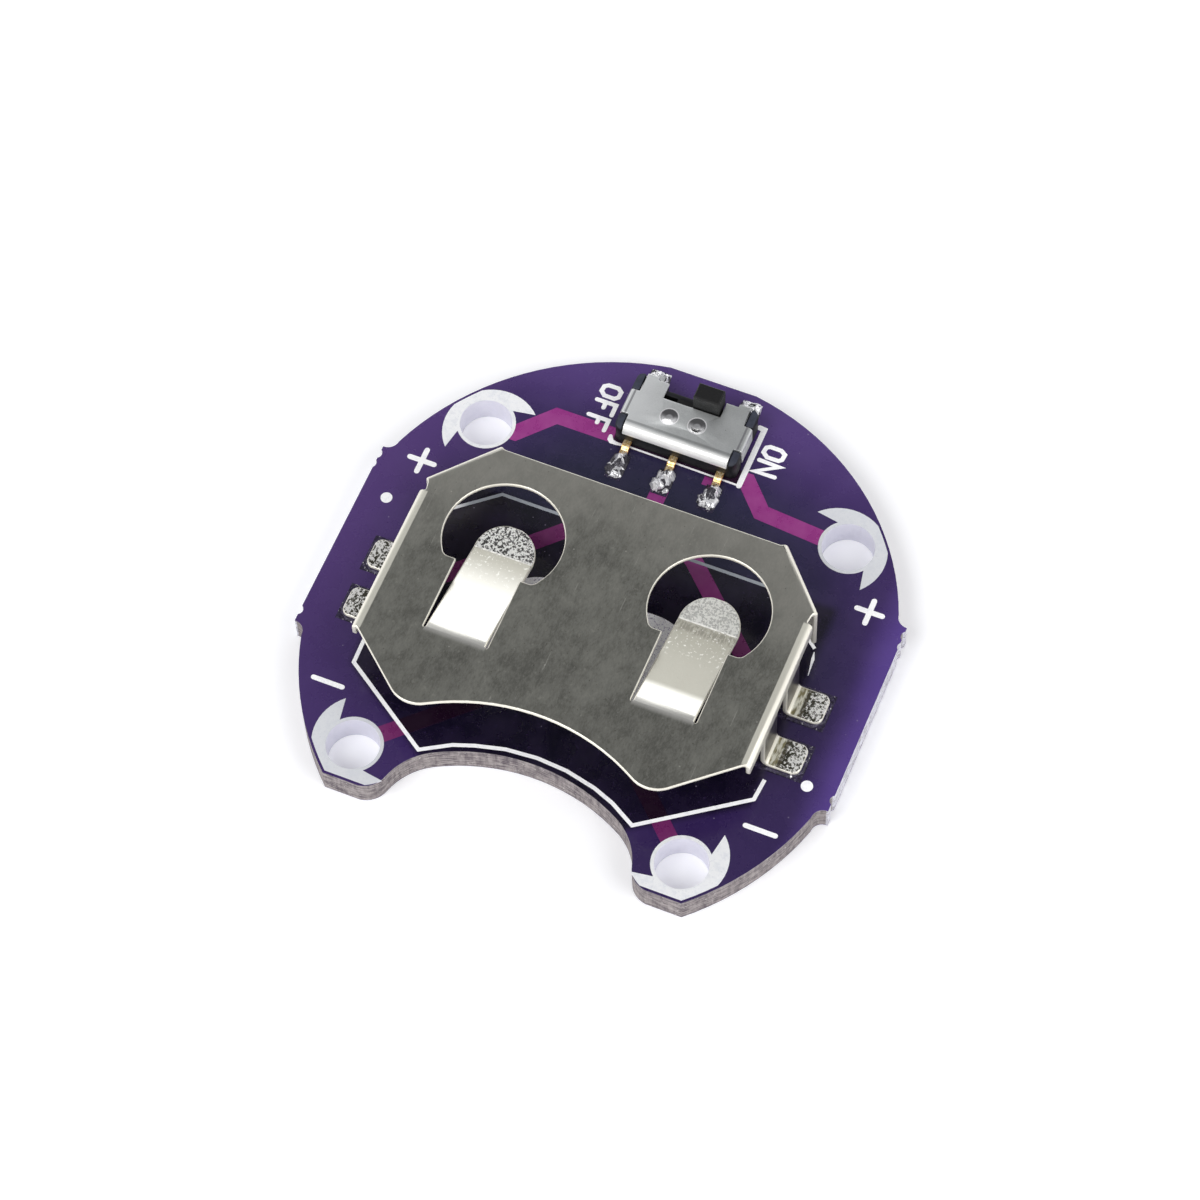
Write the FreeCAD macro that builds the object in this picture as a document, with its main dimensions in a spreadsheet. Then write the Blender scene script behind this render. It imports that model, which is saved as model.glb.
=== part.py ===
import FreeCAD, Part
import Sketcher
import math
import os

# Coin cell holder: a small sew-on circuit board carrying a folded spring clip for a
# 20 mm cell and a slide switch.  All sizes in millimetres.
# Origin: underside of the board below the middle of the clip.  +Z up, +Y towards the
# switch, +X towards the ON end of the switch.

os.makedirs("parts", exist_ok=True)
doc = FreeCAD.newDocument("coin_cell_holder")
sheet = doc.addObject("Spreadsheet::Sheet", "Sizes")


class Size:
    """A number that also remembers how it is written in terms of the sheet."""

    def __init__(self, text, value):
        self.text = text
        self.value = float(value)

    @staticmethod
    def of(item):
        return item if isinstance(item, Size) else Size("%.6f" % item, item)

    def __add__(self, other):
        other = Size.of(other)
        return Size("(%s + %s)" % (self.text, other.text), self.value + other.value)

    def __sub__(self, other):
        other = Size.of(other)
        return Size("(%s - %s)" % (self.text, other.text), self.value - other.value)

    def __mul__(self, other):
        other = Size.of(other)
        return Size("(%s * %s)" % (self.text, other.text), self.value * other.value)

    def __truediv__(self, other):
        other = Size.of(other)
        return Size("(%s / %s)" % (self.text, other.text), self.value / other.value)

    def __radd__(self, other):
        return Size.of(other) + self

    def __rsub__(self, other):
        return Size.of(other) - self

    def __rmul__(self, other):
        return Size.of(other) * self

    def __neg__(self):
        return Size("(-1 * %s)" % self.text, -self.value)


SIZES = [
    # board
    ("core_thickness", 1.50), ("mask_thickness", 0.035), ("copper_thickness", 0.018),
    ("pad_rise", 0.015),
    ("side_x", 14.08), ("rear_y", 17.42), ("rear_flat_x", 2.35), ("front_y", -10.20),
    ("rear_arc_radius", 14.30), ("front_arc_radius", 14.28),
    ("rear_shoulder_x", 13.45), ("rear_shoulder_y", 8.28), ("rear_tip_y", 7.72),
    ("front_shoulder_x", 13.44), ("front_shoulder_y", -3.68), ("front_tip_y", -3.06),
    ("tab_fillet", 0.60),
    ("bite_radius", 0.30),
    ("bite_front_low", -2.68), ("bite_front_high", -2.16),
    ("bite_rear_low", 6.42), ("bite_rear_mid", 6.84), ("bite_rear_next", 7.00), ("bite_rear_high", 7.50),
    ("foot_corner_x", 9.35), ("foot_inner_x", 7.50),
    ("notch_half", 4.90), ("notch_y", -7.27), ("notch_radius", 10.10),
    ("notch_turn_x", 6.45), ("notch_turn_y", -9.30), ("notch_turn_radius", 3.40), ("notch_foot_radius", 1.25),
    # sew holes and their pads
    # (each hole lies on the line from its outline arc's centre to the aim point, an inset from the arc)
    ("hole_rear_aim_x", 9.79), ("hole_rear_aim_y", 10.91), ("hole_rear_inset", 1.938),
    ("hole_front_aim_x", 8.60), ("hole_front_aim_y", -8.27), ("hole_front_inset", 1.910),
    ("hole_radius", 1.335), ("ring_width", 0.175), ("bottom_ring_radius", 1.80),
    ("petal_radius", 2.45), ("petal_rear_shift_x", -0.39), ("petal_rear_shift_y", -0.36),
    ("petal_front_shift_x", -0.30), ("petal_front_shift_y", 0.37),
    ("petal_margin", 0.13),
    # petal marks, measured from the hole: first tip, first notch, second notch, second tip
    ("rear_tip_a_x", -2.09), ("rear_tip_a_y", 1.29), ("rear_notch_a_x", -0.99), ("rear_notch_a_y", 1.16),
    ("rear_notch_b_x", 1.14), ("rear_notch_b_y", -0.94), ("rear_tip_b_x", 1.31), ("rear_tip_b_y", -1.99),
    ("front_tip_a_x", 1.32), ("front_tip_a_y", 2.15), ("front_notch_a_x", 1.20), ("front_notch_a_y", 1.03),
    ("front_notch_b_x", -0.96), ("front_notch_b_y", -1.06), ("front_tip_b_x", -2.00), ("front_tip_b_y", -1.19),
    # clip
    ("sheet", 0.25), ("plate_height", 3.54), ("solder_film", 0.025),
    ("clip_half", 10.37), ("bend_outer", 0.32), ("lip_depth", 0.85),
    ("side_front_y", -3.92), ("side_rear_y", 4.36),
    ("stop_end_inset", 0.24), ("stop_end_y", 4.86), ("stop_apex_x", 7.35), ("stop_apex_y", 7.93),
    ("stop_gap", 0.45),
    ("front_lobe_x", 7.15), ("front_lobe_y", -6.40), ("front_cusp_x", 5.30), ("front_cusp_y", -6.50),
    ("front_lobe_radius", 1.58), ("front_arc", 10.70),
    ("window_x", 5.42), ("window_y", 3.28), ("window_radius", 3.02),
    ("slot_gap", 0.12), ("slot_root_y", -2.70), ("shoulder_y", 1.36), ("shoulder_x", 2.12),
    ("shoulder_end_x", 2.51), ("shoulder_end_y", 1.60), ("shoulder_radius", 0.42),
    ("finger_half", 1.57), ("finger_bend_radius", 1.60),
    ("finger_bend_y", -2.286), ("finger_bend_drop", 0.055),
    ("finger_fold_y", 3.10), ("finger_fold_z", 2.042),
    ("finger_tip_y", 4.68), ("finger_tip_z", 2.208),
    ("finger_low_bend_y", -2.351), ("finger_low_bend_drop", 0.046),
    ("finger_low_fold_y", 3.080), ("finger_low_fold_z", 1.7885),
    ("finger_low_tip_y", 4.706), ("finger_low_tip_z", 1.959),
    ("finger_round_y", 3.15),
    ("foot_reach", 1.73), ("foot_width", 1.68), ("leg_spacing", 2.94), ("foot_rear_y", 2.66),
    ("foot_bend", 0.25), ("foot_corner", 0.42),
    ("clip_pad_reach", 0.97), ("clip_pad_spine", 0.35), ("clip_pad_margin", 0.20),
    ("contact_x", -0.25), ("contact_half", 5.15), ("contact_rear_y", 3.80), ("contact_front_y", -3.30), ("contact_corner", 2.40),
    ("solder_margin", 0.17), ("solder_height", 0.13), ("solder_bevel", 0.09),
    # switch
    ("switch_x", -0.14), ("lead_pitch", 2.50), ("lead_width", 0.50), ("lead_sheet", 0.15),
    ("base_half", 3.28), ("base_front_y", 12.40), ("base_rear_y", 15.72), ("base_height", 1.22),
    ("base_corner", 0.35), ("post_rear_y", 15.86), ("post_rise", 0.12), ("post_bevel", 0.05), ("post_gap", 0.04),
    ("channel_half", 2.48), ("channel_front_y", 13.05), ("channel_rear_y", 15.20), ("channel_floor", 0.36),
    ("sill_height", 1.08), ("sill_rear_y", 15.47),
    ("cover_half", 2.82), ("cover_front_y", 12.38), ("cover_rear_y", 15.72), ("cover_sheet", 0.15),
    ("cover_bend", 0.33), ("cover_lip", 0.05), ("rebate_gap", 0.02),
    ("ear_reach", 3.30), ("ear_front_y", 13.32), ("ear_rear_y", 14.78), ("ear_drop", 0.95), ("ear_bend", 0.20),
    ("slot_left", -1.56), ("slot_right", 1.52), ("slot_front_y", 14.82),
    ("dimple_radius", 0.44), ("dimple_depth", 0.09), ("dimple_x", -0.11), ("dimple_spacing", 1.50), ("dimple_y", 13.91),
    ("knob_x", 0.75), ("knob_width", 1.38), ("knob_front_y", 14.86), ("knob_rear_y", 15.76), ("knob_top", 2.42),
    ("knob_bevel", 0.06),
    ("slider_half", 1.62), ("slide_clearance", 0.04), ("slider_bottom", 0.82),
    ("travel", 1.50),
    ("lead_inner_y", 14.40), ("lead_foot_start_y", 11.55), ("lead_foot_end_y", 10.75), ("lead_rise_y", 12.00),
    ("lead_level", 0.36),
    ("wiper_width", 0.70), ("wiper_sheet", 0.07), ("wiper_half", 1.15), ("wiper_contact", 0.75),
    ("wiper_y", 13.70), ("contact_gap", 0.01),
    ("hold_width", 0.62), ("hold_end_y", 16.75), ("hold_step", 2.48),
    ("lead_pad_width", 0.86), ("lead_pad_rear_y", 11.70), ("lead_pad_front_y", 10.22),
    ("hold_pad_half", 0.52), ("hold_pad_rear_y", 16.98), ("hold_pad_front_y", 15.90),
    # solder mounds at the switch
    ("lead_mound_y", 10.96), ("lead_mound_half", 0.43), ("lead_mound_reach", 0.74), ("lead_mound_rise", 0.30),
    ("hold_mound_y", 16.44), ("hold_mound_half", 0.52), ("hold_mound_reach", 0.50), ("hold_mound_rise", 0.34),
    ("mound_bevel", 0.16),
    # covered copper runs
    ("trace_width", 0.90), ("trace_overlap", 0.35),
    ("supply_y", 12.62), ("supply_left_x", 6.62), ("supply_leave_x", 8.20), ("supply_right_x", 3.70),
    ("supply_low_x", 5.05), ("supply_low_y", 11.17),
    ("common_stub", 0.60), ("common_side_left_y", 1.49), ("common_left_x", 3.70), ("common_left_y", 6.55),
    ("common_top_y", 9.55), ("common_right_x", 3.00), ("common_right_y", 7.30), ("common_side_right_y", 1.76),
]

row = 1
S = {}
for name, value in SIZES:
    sheet.set("A%d" % row, name)
    sheet.set("B%d" % row, "%g" % value)
    sheet.setAlias("B%d" % row, name)
    S[name] = Size("Sizes." + name, value)
    row += 1
doc.recompute()

# levels
core_bottom = S["mask_thickness"]
core_top = S["mask_thickness"] + S["core_thickness"]
board_top = core_top + S["mask_thickness"]
pad_top = board_top + S["pad_rise"]
clip_bottom = pad_top + S["solder_film"]
plate_top = board_top + S["plate_height"]
plate_under = plate_top - S["sheet"]
ring_radius = S["hole_radius"] + S["ring_width"]

PLANES = {"XY": "XY_Plane", "XZ": "XZ_Plane", "YZ": "YZ_Plane"}


def value(item):
    return item.value if isinstance(item, Size) else float(item)


def new_body(name):
    body = doc.addObject("PartDesign::Body", name)
    body.Label = name
    return body


def plane_of(body, which):
    for item in body.Origin.OriginFeatures:
        if item.Role == PLANES[which]:
            return item
    raise RuntimeError("origin plane missing")


def new_sketch(body, name, which="XY", at=0.0, turn=None, shift=None):
    """Sketch on an origin plane, `at` along the plane normal (global sense)."""
    sketch = body.newObject("Sketcher::SketchObject", name)
    sketch.AttachmentSupport = [(plane_of(body, which), "")]
    sketch.MapMode = "FlatFace"
    along = value(at)
    if which == "XZ":
        along = -along
    base = FreeCAD.Vector(0, 0, along)
    if shift is not None:
        base = base + FreeCAD.Vector(value(shift), 0, 0)
    spin = FreeCAD.Rotation()
    if turn is not None:
        spin = FreeCAD.Rotation(FreeCAD.Vector(0, 1, 0), turn)
    sketch.AttachmentOffset = FreeCAD.Placement(base, spin)
    if turn is None and isinstance(at, Size):
        sign = "-1 * " if which == "XZ" else ""
        sketch.setExpression("AttachmentOffset.Base.z", sign + at.text)
    return sketch


def bind(sketch, kind, args, item):
    item = Size.of(item)
    number = sketch.addConstraint(Sketcher.Constraint(*([kind] + list(args) + [item.value])))
    sketch.setExpression("Constraints[%d]" % number, item.text)


def arc_between(p, q, radius, clockwise):
    """Minor arc from p to q; returns the curve and whether its start is p."""
    middle = (p + q) * 0.5
    chord = q - p
    half = chord.Length / 2.0
    rise = math.sqrt(max(radius * radius - half * half, 0.0))
    side = FreeCAD.Vector(-chord.y, chord.x, 0)
    side.normalize()
    centre = middle + side * (-rise if clockwise else rise)
    first, last = (q, p) if clockwise else (p, q)
    a0 = math.atan2(first.y - centre.y, first.x - centre.x)
    a1 = math.atan2(last.y - centre.y, last.x - centre.x)
    if a1 < a0:
        a1 += 2 * math.pi
    circle = Part.Circle(centre, FreeCAD.Vector(0, 0, 1), radius)
    return Part.ArcOfCircle(circle, a0, a1), not clockwise


def big_arc(p, q, centre):
    """Counter-clockwise arc from p to q about a known centre (may pass half a turn)."""
    radius = (p - centre).Length
    a0 = math.atan2(p.y - centre.y, p.x - centre.x)
    a1 = math.atan2(q.y - centre.y, q.x - centre.x)
    if a1 < a0:
        a1 += 2 * math.pi
    return Part.ArcOfCircle(Part.Circle(centre, FreeCAD.Vector(0, 0, 1), radius), a0, a1)


def add_loop(sketch, corners, edges=None):
    """Closed loop.  corners: (x, y) pairs.  edges[i] runs from corner i to the next:
    None for a line, ("cw" | "ccw", radius) for a minor arc, ("big", cx, cy, radius) for
    an arc of more than half a turn, counter-clockwise."""
    count = len(corners)
    edges = edges or {}
    points = [FreeCAD.Vector(value(x), value(y), 0) for x, y in corners]
    ends = []
    for i in range(count):
        p = points[i]
        q = points[(i + 1) % count]
        how = edges.get(i)
        if how is None:
            index = sketch.addGeometry(Part.LineSegment(p, q), False)
            ends.append((index, 1, 2))
        elif how[0] == "big":
            centre = FreeCAD.Vector(value(how[1]), value(how[2]), 0)
            index = sketch.addGeometry(big_arc(p, q, centre), False)
            ends.append((index, 1, 2))
        else:
            curve, forward = arc_between(p, q, value(how[1]), how[0] == "cw")
            index = sketch.addGeometry(curve, False)
            ends.append((index, 1, 2) if forward else (index, 2, 1))
    for i in range(count):
        here = ends[i]
        following = ends[(i + 1) % count]
        sketch.addConstraint(Sketcher.Constraint("Coincident", here[0], here[2], following[0], following[1]))
    for i in range(count):
        x, y = corners[i]
        bind(sketch, "DistanceX", [ends[i][0], ends[i][1]], x)
        bind(sketch, "DistanceY", [ends[i][0], ends[i][1]], y)
        how = edges.get(i)
        if how is not None:
            bind(sketch, "Radius", [ends[i][0]], how[3] if how[0] == "big" else how[1])


def add_circle(sketch, x, y, radius):
    centre = FreeCAD.Vector(value(x), value(y), 0)
    index = sketch.addGeometry(Part.Circle(centre, FreeCAD.Vector(0, 0, 1), value(radius)), False)
    bind(sketch, "DistanceX", [index, 3], x)
    bind(sketch, "DistanceY", [index, 3], y)
    bind(sketch, "Radius", [index], radius)


def rectangle(x0, y0, x1, y1):
    return [(x0, y0), (x1, y0), (x1, y1), (x0, y1)]


def pad(body, name, sketch, length):
    feature = body.newObject("PartDesign::Pad", name)
    feature.Profile = sketch
    feature.Length = value(length)
    if isinstance(length, Size):
        feature.setExpression("Length", length.text)
    sketch.Visibility = False
    return feature


def pocket_through(body, name, sketch):
    feature = body.newObject("PartDesign::Pocket", name)
    feature.Profile = sketch
    feature.Type = 1
    feature.Midplane = True
    sketch.Visibility = False
    return feature


def pocket_down(body, name, sketch, depth):
    feature = body.newObject("PartDesign::Pocket", name)
    feature.Profile = sketch
    feature.Length = value(depth)
    if isinstance(depth, Size):
        feature.setExpression("Length", depth.text)
    sketch.Visibility = False
    return feature


def fold_profile(sketch, start, reach, top, thick, low):
    """Section of a sheet whose flat ends at `start`, bent down over an outer radius |reach|
    towards the sign of reach, and ending in a wall down to `low`."""
    onward = 1 if value(reach) > 0 else -1
    outer = reach * onward
    face = start + reach
    inside = face - thick * onward
    add_loop(sketch, [
        (start, top - thick),
        (inside, top - outer),
        (inside, low),
        (face, low),
        (face, top - outer),
        (start, top),
    ], {
        0: ("cw" if onward > 0 else "ccw", outer - thick),
        4: ("ccw" if onward > 0 else "cw", outer),
    })


def bevel_top(body, name, feature, size):
    """Chamfer round every face at the feature's highest level."""
    doc.recompute()
    faces = feature.Shape.Faces
    level = max(face.CenterOfMass.z for face in faces)
    tops = ["Face%d" % (k + 1) for k, face in enumerate(faces)
            if face.CenterOfMass.z > level - 1e-4 and face.BoundBox.ZLength < 1e-4]
    bevel = body.newObject("PartDesign::Chamfer", name)
    bevel.Base = (feature, tops)
    bevel.Size = size.value
    bevel.setExpression("Size", size.text)
    body.Tip = bevel
    return bevel


def mirrored(body, name, features, which="YZ"):
    feature = body.newObject("PartDesign::Mirrored", name)
    feature.Originals = features
    feature.MirrorPlane = (plane_of(body, which), [""])
    body.Tip = feature
    return feature


NODES = {}


def node(obj, label):
    obj.Label = label
    NODES[label] = obj
    return obj


def cut(name, base, tool):
    feature = doc.addObject("Part::Cut", name)
    feature.Base = base
    feature.Tool = tool
    return feature


# ---------------------------------------------------------------- board outline


def arc_centre(p, q, radius):
    """Centre of the counter-clockwise minor arc from p to q."""
    middle = (p + q) * 0.5
    chord = q - p
    rise = math.sqrt(radius * radius - chord.Length * chord.Length / 4.0)
    side = FreeCAD.Vector(-chord.y, chord.x, 0)
    side.normalize()
    return middle + side * rise


def corner_place(end, first, last, radius):
    """Arc centre, outward direction, sew hole and petal centre on the +X side, as plain numbers."""
    points = [FreeCAD.Vector(value(x), value(y), 0) for x, y in (first, last)]
    centre = arc_centre(points[0], points[1], value(radius))
    aim = FreeCAD.Vector(S["hole_%s_aim_x" % end].value, S["hole_%s_aim_y" % end].value, 0)
    outward = aim - centre
    outward.normalize()
    hole = centre + outward * (value(radius) - S["hole_%s_inset" % end].value)
    petal = hole + FreeCAD.Vector(S["petal_%s_shift_x" % end].value, S["petal_%s_shift_y" % end].value, 0)
    return {"centre": centre, "outward": outward, "hole": hole, "petal": petal}


CORNERS = {
    "rear": corner_place("rear", (S["rear_shoulder_x"], S["rear_shoulder_y"]), (S["rear_flat_x"], S["rear_y"]),
                         S["rear_arc_radius"]),
    "front": corner_place("front", (S["foot_corner_x"], S["front_y"]), (S["front_shoulder_x"], S["front_shoulder_y"]),
                          S["front_arc_radius"]),
}


def board_loop(sketch):
    """Outline with break-off tab remains on both side edges and a thumb notch in front."""
    half = [
        (S["notch_half"], S["notch_y"], ("cw", S["notch_turn_radius"])),
        (S["notch_turn_x"], S["notch_turn_y"], ("ccw", S["notch_foot_radius"])),
        (S["foot_inner_x"], S["front_y"], None),
        (S["foot_corner_x"], S["front_y"], ("ccw", S["front_arc_radius"])),
        (S["front_shoulder_x"], S["front_shoulder_y"], ("cw", S["tab_fillet"])),
        (S["side_x"], S["front_tip_y"], None),
        (S["side_x"], S["bite_front_low"], ("cw", S["bite_radius"])),
        (S["side_x"], S["bite_front_high"], None),
        (S["side_x"], S["bite_rear_low"], ("cw", S["bite_radius"])),
        (S["side_x"], S["bite_rear_mid"], None),
        (S["side_x"], S["bite_rear_next"], ("cw", S["bite_radius"])),
        (S["side_x"], S["bite_rear_high"], None),
        (S["side_x"], S["rear_tip_y"], ("cw", S["tab_fillet"])),
        (S["rear_shoulder_x"], S["rear_shoulder_y"], ("ccw", S["rear_arc_radius"])),
        (S["rear_flat_x"], S["rear_y"], None),
    ]
    corners = []
    edges = {}
    for x, y, how in half:
        if how is not None:
            edges[len(corners)] = how
        corners.append((x, y))
    for i in range(len(half) - 1, -1, -1):
        x, y, how = half[i]
        before = half[i - 1][2] if i > 0 else ("cw", S["notch_radius"])
        if before is not None:
            edges[len(corners)] = before
        corners.append((-x, y))
    add_loop(sketch, corners, edges)


def sew_holes(sketch, radius):
    for side in (-1, 1):
        for place in CORNERS.values():
            add_circle(sketch, side * place["hole"].x, place["hole"].y, radius)


def board_layer(name, bottom, thickness):
    body = new_body(name)
    sketch = new_sketch(body, name + "_outline", "XY", bottom)
    board_loop(sketch)
    pad(body, name + "_sheet", sketch, thickness)
    holes = new_sketch(body, name + "_holes", "XY", bottom)
    sew_holes(holes, ring_radius)
    pocket_through(body, name + "_drilled", holes)
    return body


node(board_layer("board_core", core_bottom, S["core_thickness"]), "board_core")

# ---------------------------------------------------------------- sew tabs

TABS = {"sew_tab_rear_right": (1, "rear"), "sew_tab_rear_left": (-1, "rear"),
        "sew_tab_front_right": (1, "front"), "sew_tab_front_left": (-1, "front")}


def mark(end, which, centre, radius):
    """One of a petal's marks, moved onto a circle about a centre."""
    point = CORNERS[end]["hole"] + FreeCAD.Vector(S["%s_%s_x" % (end, which)].value, S["%s_%s_y" % (end, which)].value, 0)
    away = point - centre
    away.normalize()
    return centre + away * radius.value


def sew_tab(name, side, end):
    """Hooked petal and ring on top, plated tube through the board, ring underneath."""
    body = new_body(name)
    place = CORNERS[end]
    hole, petal, outward = place["hole"], place["petal"], place["outward"]
    ring = [mark(end, "tip_a", petal, S["petal_radius"]), mark(end, "notch_a", hole, ring_radius),
            hole - outward * ring_radius.value, mark(end, "notch_b", hole, ring_radius),
            mark(end, "tip_b", petal, S["petal_radius"]), petal + outward * S["petal_radius"].value]
    turn = "ccw" if side > 0 else "cw"
    top = new_sketch(body, name + "_petal", "XY", core_top)
    add_loop(top, [(side * point.x, point.y) for point in ring], {
        1: (turn, ring_radius),
        2: (turn, ring_radius),
        4: (turn, S["petal_radius"]),
        5: (turn, S["petal_radius"]),
    })
    pad(body, name + "_top", top, S["mask_thickness"] + S["pad_rise"])
    # keep clear of the board edge
    trim = new_sketch(body, name + "_trim", "XY", core_top)
    edge_radius = S["%s_arc_radius" % end]
    for radius in (edge_radius - S["petal_margin"], edge_radius + S["petal_radius"] * 2):
        add_circle(trim, side * place["centre"].x, place["centre"].y, radius)
    pocket_through(body, name + "_edge", trim)
    if end == "front":
        straight = new_sketch(body, name + "_straight", "XY", core_top)
        add_loop(straight, rectangle(side * S["notch_half"], S["front_y"] - S["petal_radius"],
                                     side * S["side_x"], S["front_y"] + S["petal_margin"]))
        pocket_through(body, name + "_straight_edge", straight)
    barrel = new_sketch(body, name + "_barrel", "XY", 0.0)
    add_circle(barrel, side * hole.x, hole.y, ring_radius)
    pad(body, name + "_tube", barrel, pad_top)
    under = new_sketch(body, name + "_under", "XY", 0.0)
    add_circle(under, side * hole.x, hole.y, S["bottom_ring_radius"])
    pad(body, name + "_lower_ring", under, S["mask_thickness"])
    bore = new_sketch(body, name + "_bore", "XY", 0.0)
    add_circle(bore, side * hole.x, hole.y, S["hole_radius"])
    pocket_through(body, name + "_hole", bore)
    return body


tabs = []
for label, (side, end) in TABS.items():
    tabs.append(node(sew_tab(label, side, end), label))

# ---------------------------------------------------------------- exposed pads

pads = []


def flat_pad(name, loop, edges=None):
    body = new_body(name)
    sketch = new_sketch(body, name + "_shape", "XY", core_top)
    add_loop(sketch, loop, edges)
    pad(body, name + "_plate", sketch, S["mask_thickness"] + S["pad_rise"])
    pads.append(node(body, name))
    return body


contact_corner = S["contact_corner"]
contact_left, contact_right = S["contact_x"] - S["contact_half"], S["contact_x"] + S["contact_half"]
flat_pad("contact_pad", [
    (contact_left + contact_corner, S["contact_front_y"]), (contact_right - contact_corner, S["contact_front_y"]),
    (contact_right, S["contact_front_y"] + contact_corner), (contact_right, S["contact_rear_y"] - contact_corner),
    (contact_right - contact_corner, S["contact_rear_y"]), (contact_left + contact_corner, S["contact_rear_y"]),
    (contact_left, S["contact_rear_y"] - contact_corner), (contact_left, S["contact_front_y"] + contact_corner),
], {n: ("ccw", contact_corner) for n in (1, 3, 5, 7)})
# one comb under each pair of feet: a spine below the side wall and a tooth under each foot
foot_end = S["clip_half"] + S["foot_reach"]
pad_inner = S["clip_half"] - S["clip_pad_reach"]
for side_name, side in (("left", -1), ("right", 1)):
    spine_x = side * (pad_inner + S["clip_pad_spine"])
    tooth_x = side * (foot_end + S["clip_pad_margin"])
    rear = S["foot_rear_y"] + S["clip_pad_margin"]
    front = S["foot_rear_y"] - S["foot_width"] - S["clip_pad_margin"]
    flat_pad("clip_pad_" + side_name, [
        (side * pad_inner, rear), (side * pad_inner, front - S["leg_spacing"]),
        (tooth_x, front - S["leg_spacing"]), (tooth_x, rear - S["leg_spacing"]), (spine_x, rear - S["leg_spacing"]),
        (spine_x, front), (tooth_x, front), (tooth_x, rear)])
LEADS = {"off": -1, "common": 0, "on": 1}
for label, step in LEADS.items():
    middle = S["switch_x"] + step * S["lead_pitch"]
    flat_pad("lead_pad_" + label, rectangle(middle - S["lead_pad_width"] / 2, S["lead_pad_front_y"],
                                            middle + S["lead_pad_width"] / 2, S["lead_pad_rear_y"]))
for label, side in (("left", -1), ("right", 1)):
    middle = S["switch_x"] + side * S["hold_step"]
    flat_pad("hold_pad_" + label, rectangle(middle - S["hold_pad_half"], S["hold_pad_front_y"],
                                            middle + S["hold_pad_half"], S["hold_pad_rear_y"]))

# ---------------------------------------------------------------- covered traces

traces = []


def ribbon(points, width):
    """Corner points of a constant-width strip along a path, mitred."""
    half = width / 2.0
    left = []
    right = []
    for i in range(len(points)):
        here = FreeCAD.Vector(points[i][0], points[i][1], 0)
        into = None
        out = None
        if i > 0:
            into = here - FreeCAD.Vector(points[i - 1][0], points[i - 1][1], 0)
            into.normalize()
        if i < len(points) - 1:
            out = FreeCAD.Vector(points[i + 1][0], points[i + 1][1], 0) - here
            out.normalize()
        into = out if into is None else into
        out = into if out is None else out
        along = into + out
        along.normalize()
        across = FreeCAD.Vector(-along.y, along.x, 0)
        reach = half / max(across.dot(FreeCAD.Vector(-into.y, into.x, 0)), 0.3)
        left.append((here.x + across.x * reach, here.y + across.y * reach))
        right.append((here.x - across.x * reach, here.y - across.y * reach))
    return left + right[::-1]


def trace(name, paths, stops):
    """A copper run under the mask; several joined strips, trimmed where pads begin."""
    body = new_body(name + "_run")
    for number, path in enumerate(paths):
        sketch = new_sketch(body, "%s_path_%d" % (name, number), "XY", core_top)
        add_loop(sketch, ribbon(path, S["trace_width"].value))
        pad(body, "%s_strip_%d" % (name, number), sketch, S["copper_thickness"])
    group = doc.addObject("Part::Compound", name + "_stops")
    group.Links = stops
    trimmed = cut(name, body, group)
    traces.append(node(trimmed, name))


lead_x = {label: (S["switch_x"] + step * S["lead_pitch"]).value for label, step in LEADS.items()}
ring_middle = S["hole_radius"].value + S["ring_width"].value / 2
rear_hole, front_hole = CORNERS["rear"]["hole"], CORNERS["front"]["hole"]
supply_y, low_y = S["supply_y"].value, S["supply_low_y"].value
trace("trace_supply",
      [[(ring_middle - rear_hole.x, rear_hole.y), (-S["supply_leave_x"].value, rear_hole.y),
        (-S["supply_left_x"].value, supply_y), (S["supply_right_x"].value, supply_y),
        (S["supply_low_x"].value, low_y), (rear_hole.x - ring_middle, rear_hole.y)],
       [(lead_x["on"], S["lead_pad_rear_y"].value - S["trace_overlap"].value), (lead_x["on"], supply_y)]],
      [NODES["sew_tab_rear_left"], NODES["sew_tab_rear_right"], NODES["lead_pad_on"]])
spine_middle = (pad_inner + S["clip_pad_spine"] / 2).value
stub_end = (pad_inner - S["common_stub"]).value
left_y, right_y = S["common_side_left_y"].value, S["common_side_right_y"].value
top = (lead_x["common"], S["common_top_y"].value)
trace("trace_common",
      [[(-spine_middle, left_y), (-stub_end, left_y), (-S["common_left_x"].value, S["common_left_y"].value), top,
        (S["common_right_x"].value, S["common_right_y"].value), (stub_end, right_y), (spine_middle, right_y)],
       [(lead_x["common"], S["lead_pad_front_y"].value + S["trace_overlap"].value), top]],
      [NODES["clip_pad_left"], NODES["clip_pad_right"], NODES["lead_pad_common"]])
# the ground runs start in the front rings, aim at the origin and end under the contact pad
inward = -front_hole
inward.normalize()
start = front_hole + inward * ring_middle
stop = inward * (S["contact_front_y"] + S["trace_overlap"]).value
for side_name, side in (("left", -1), ("right", 1)):
    trace("trace_ground_" + side_name, [[(side * start.x, start.y), (side * stop.x, stop.y)]],
          [NODES["sew_tab_front_" + side_name], NODES["contact_pad"]])

# ---------------------------------------------------------------- mask skins

mask_top_sheet = board_layer("mask_top_sheet", core_top, S["mask_thickness"])
copper_group = doc.addObject("Part::Compound", "copper_group")
copper_group.Links = tabs + pads + traces
node(cut("mask_top", mask_top_sheet, copper_group), "mask_top")
mask_bottom_sheet = board_layer("mask_bottom_sheet", Size.of(0.0), S["mask_thickness"])
tab_group = doc.addObject("Part::Compound", "tab_group")
tab_group.Links = tabs
node(cut("mask_bottom", mask_bottom_sheet, tab_group), "mask_bottom")

# ---------------------------------------------------------------- spring clip

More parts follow.
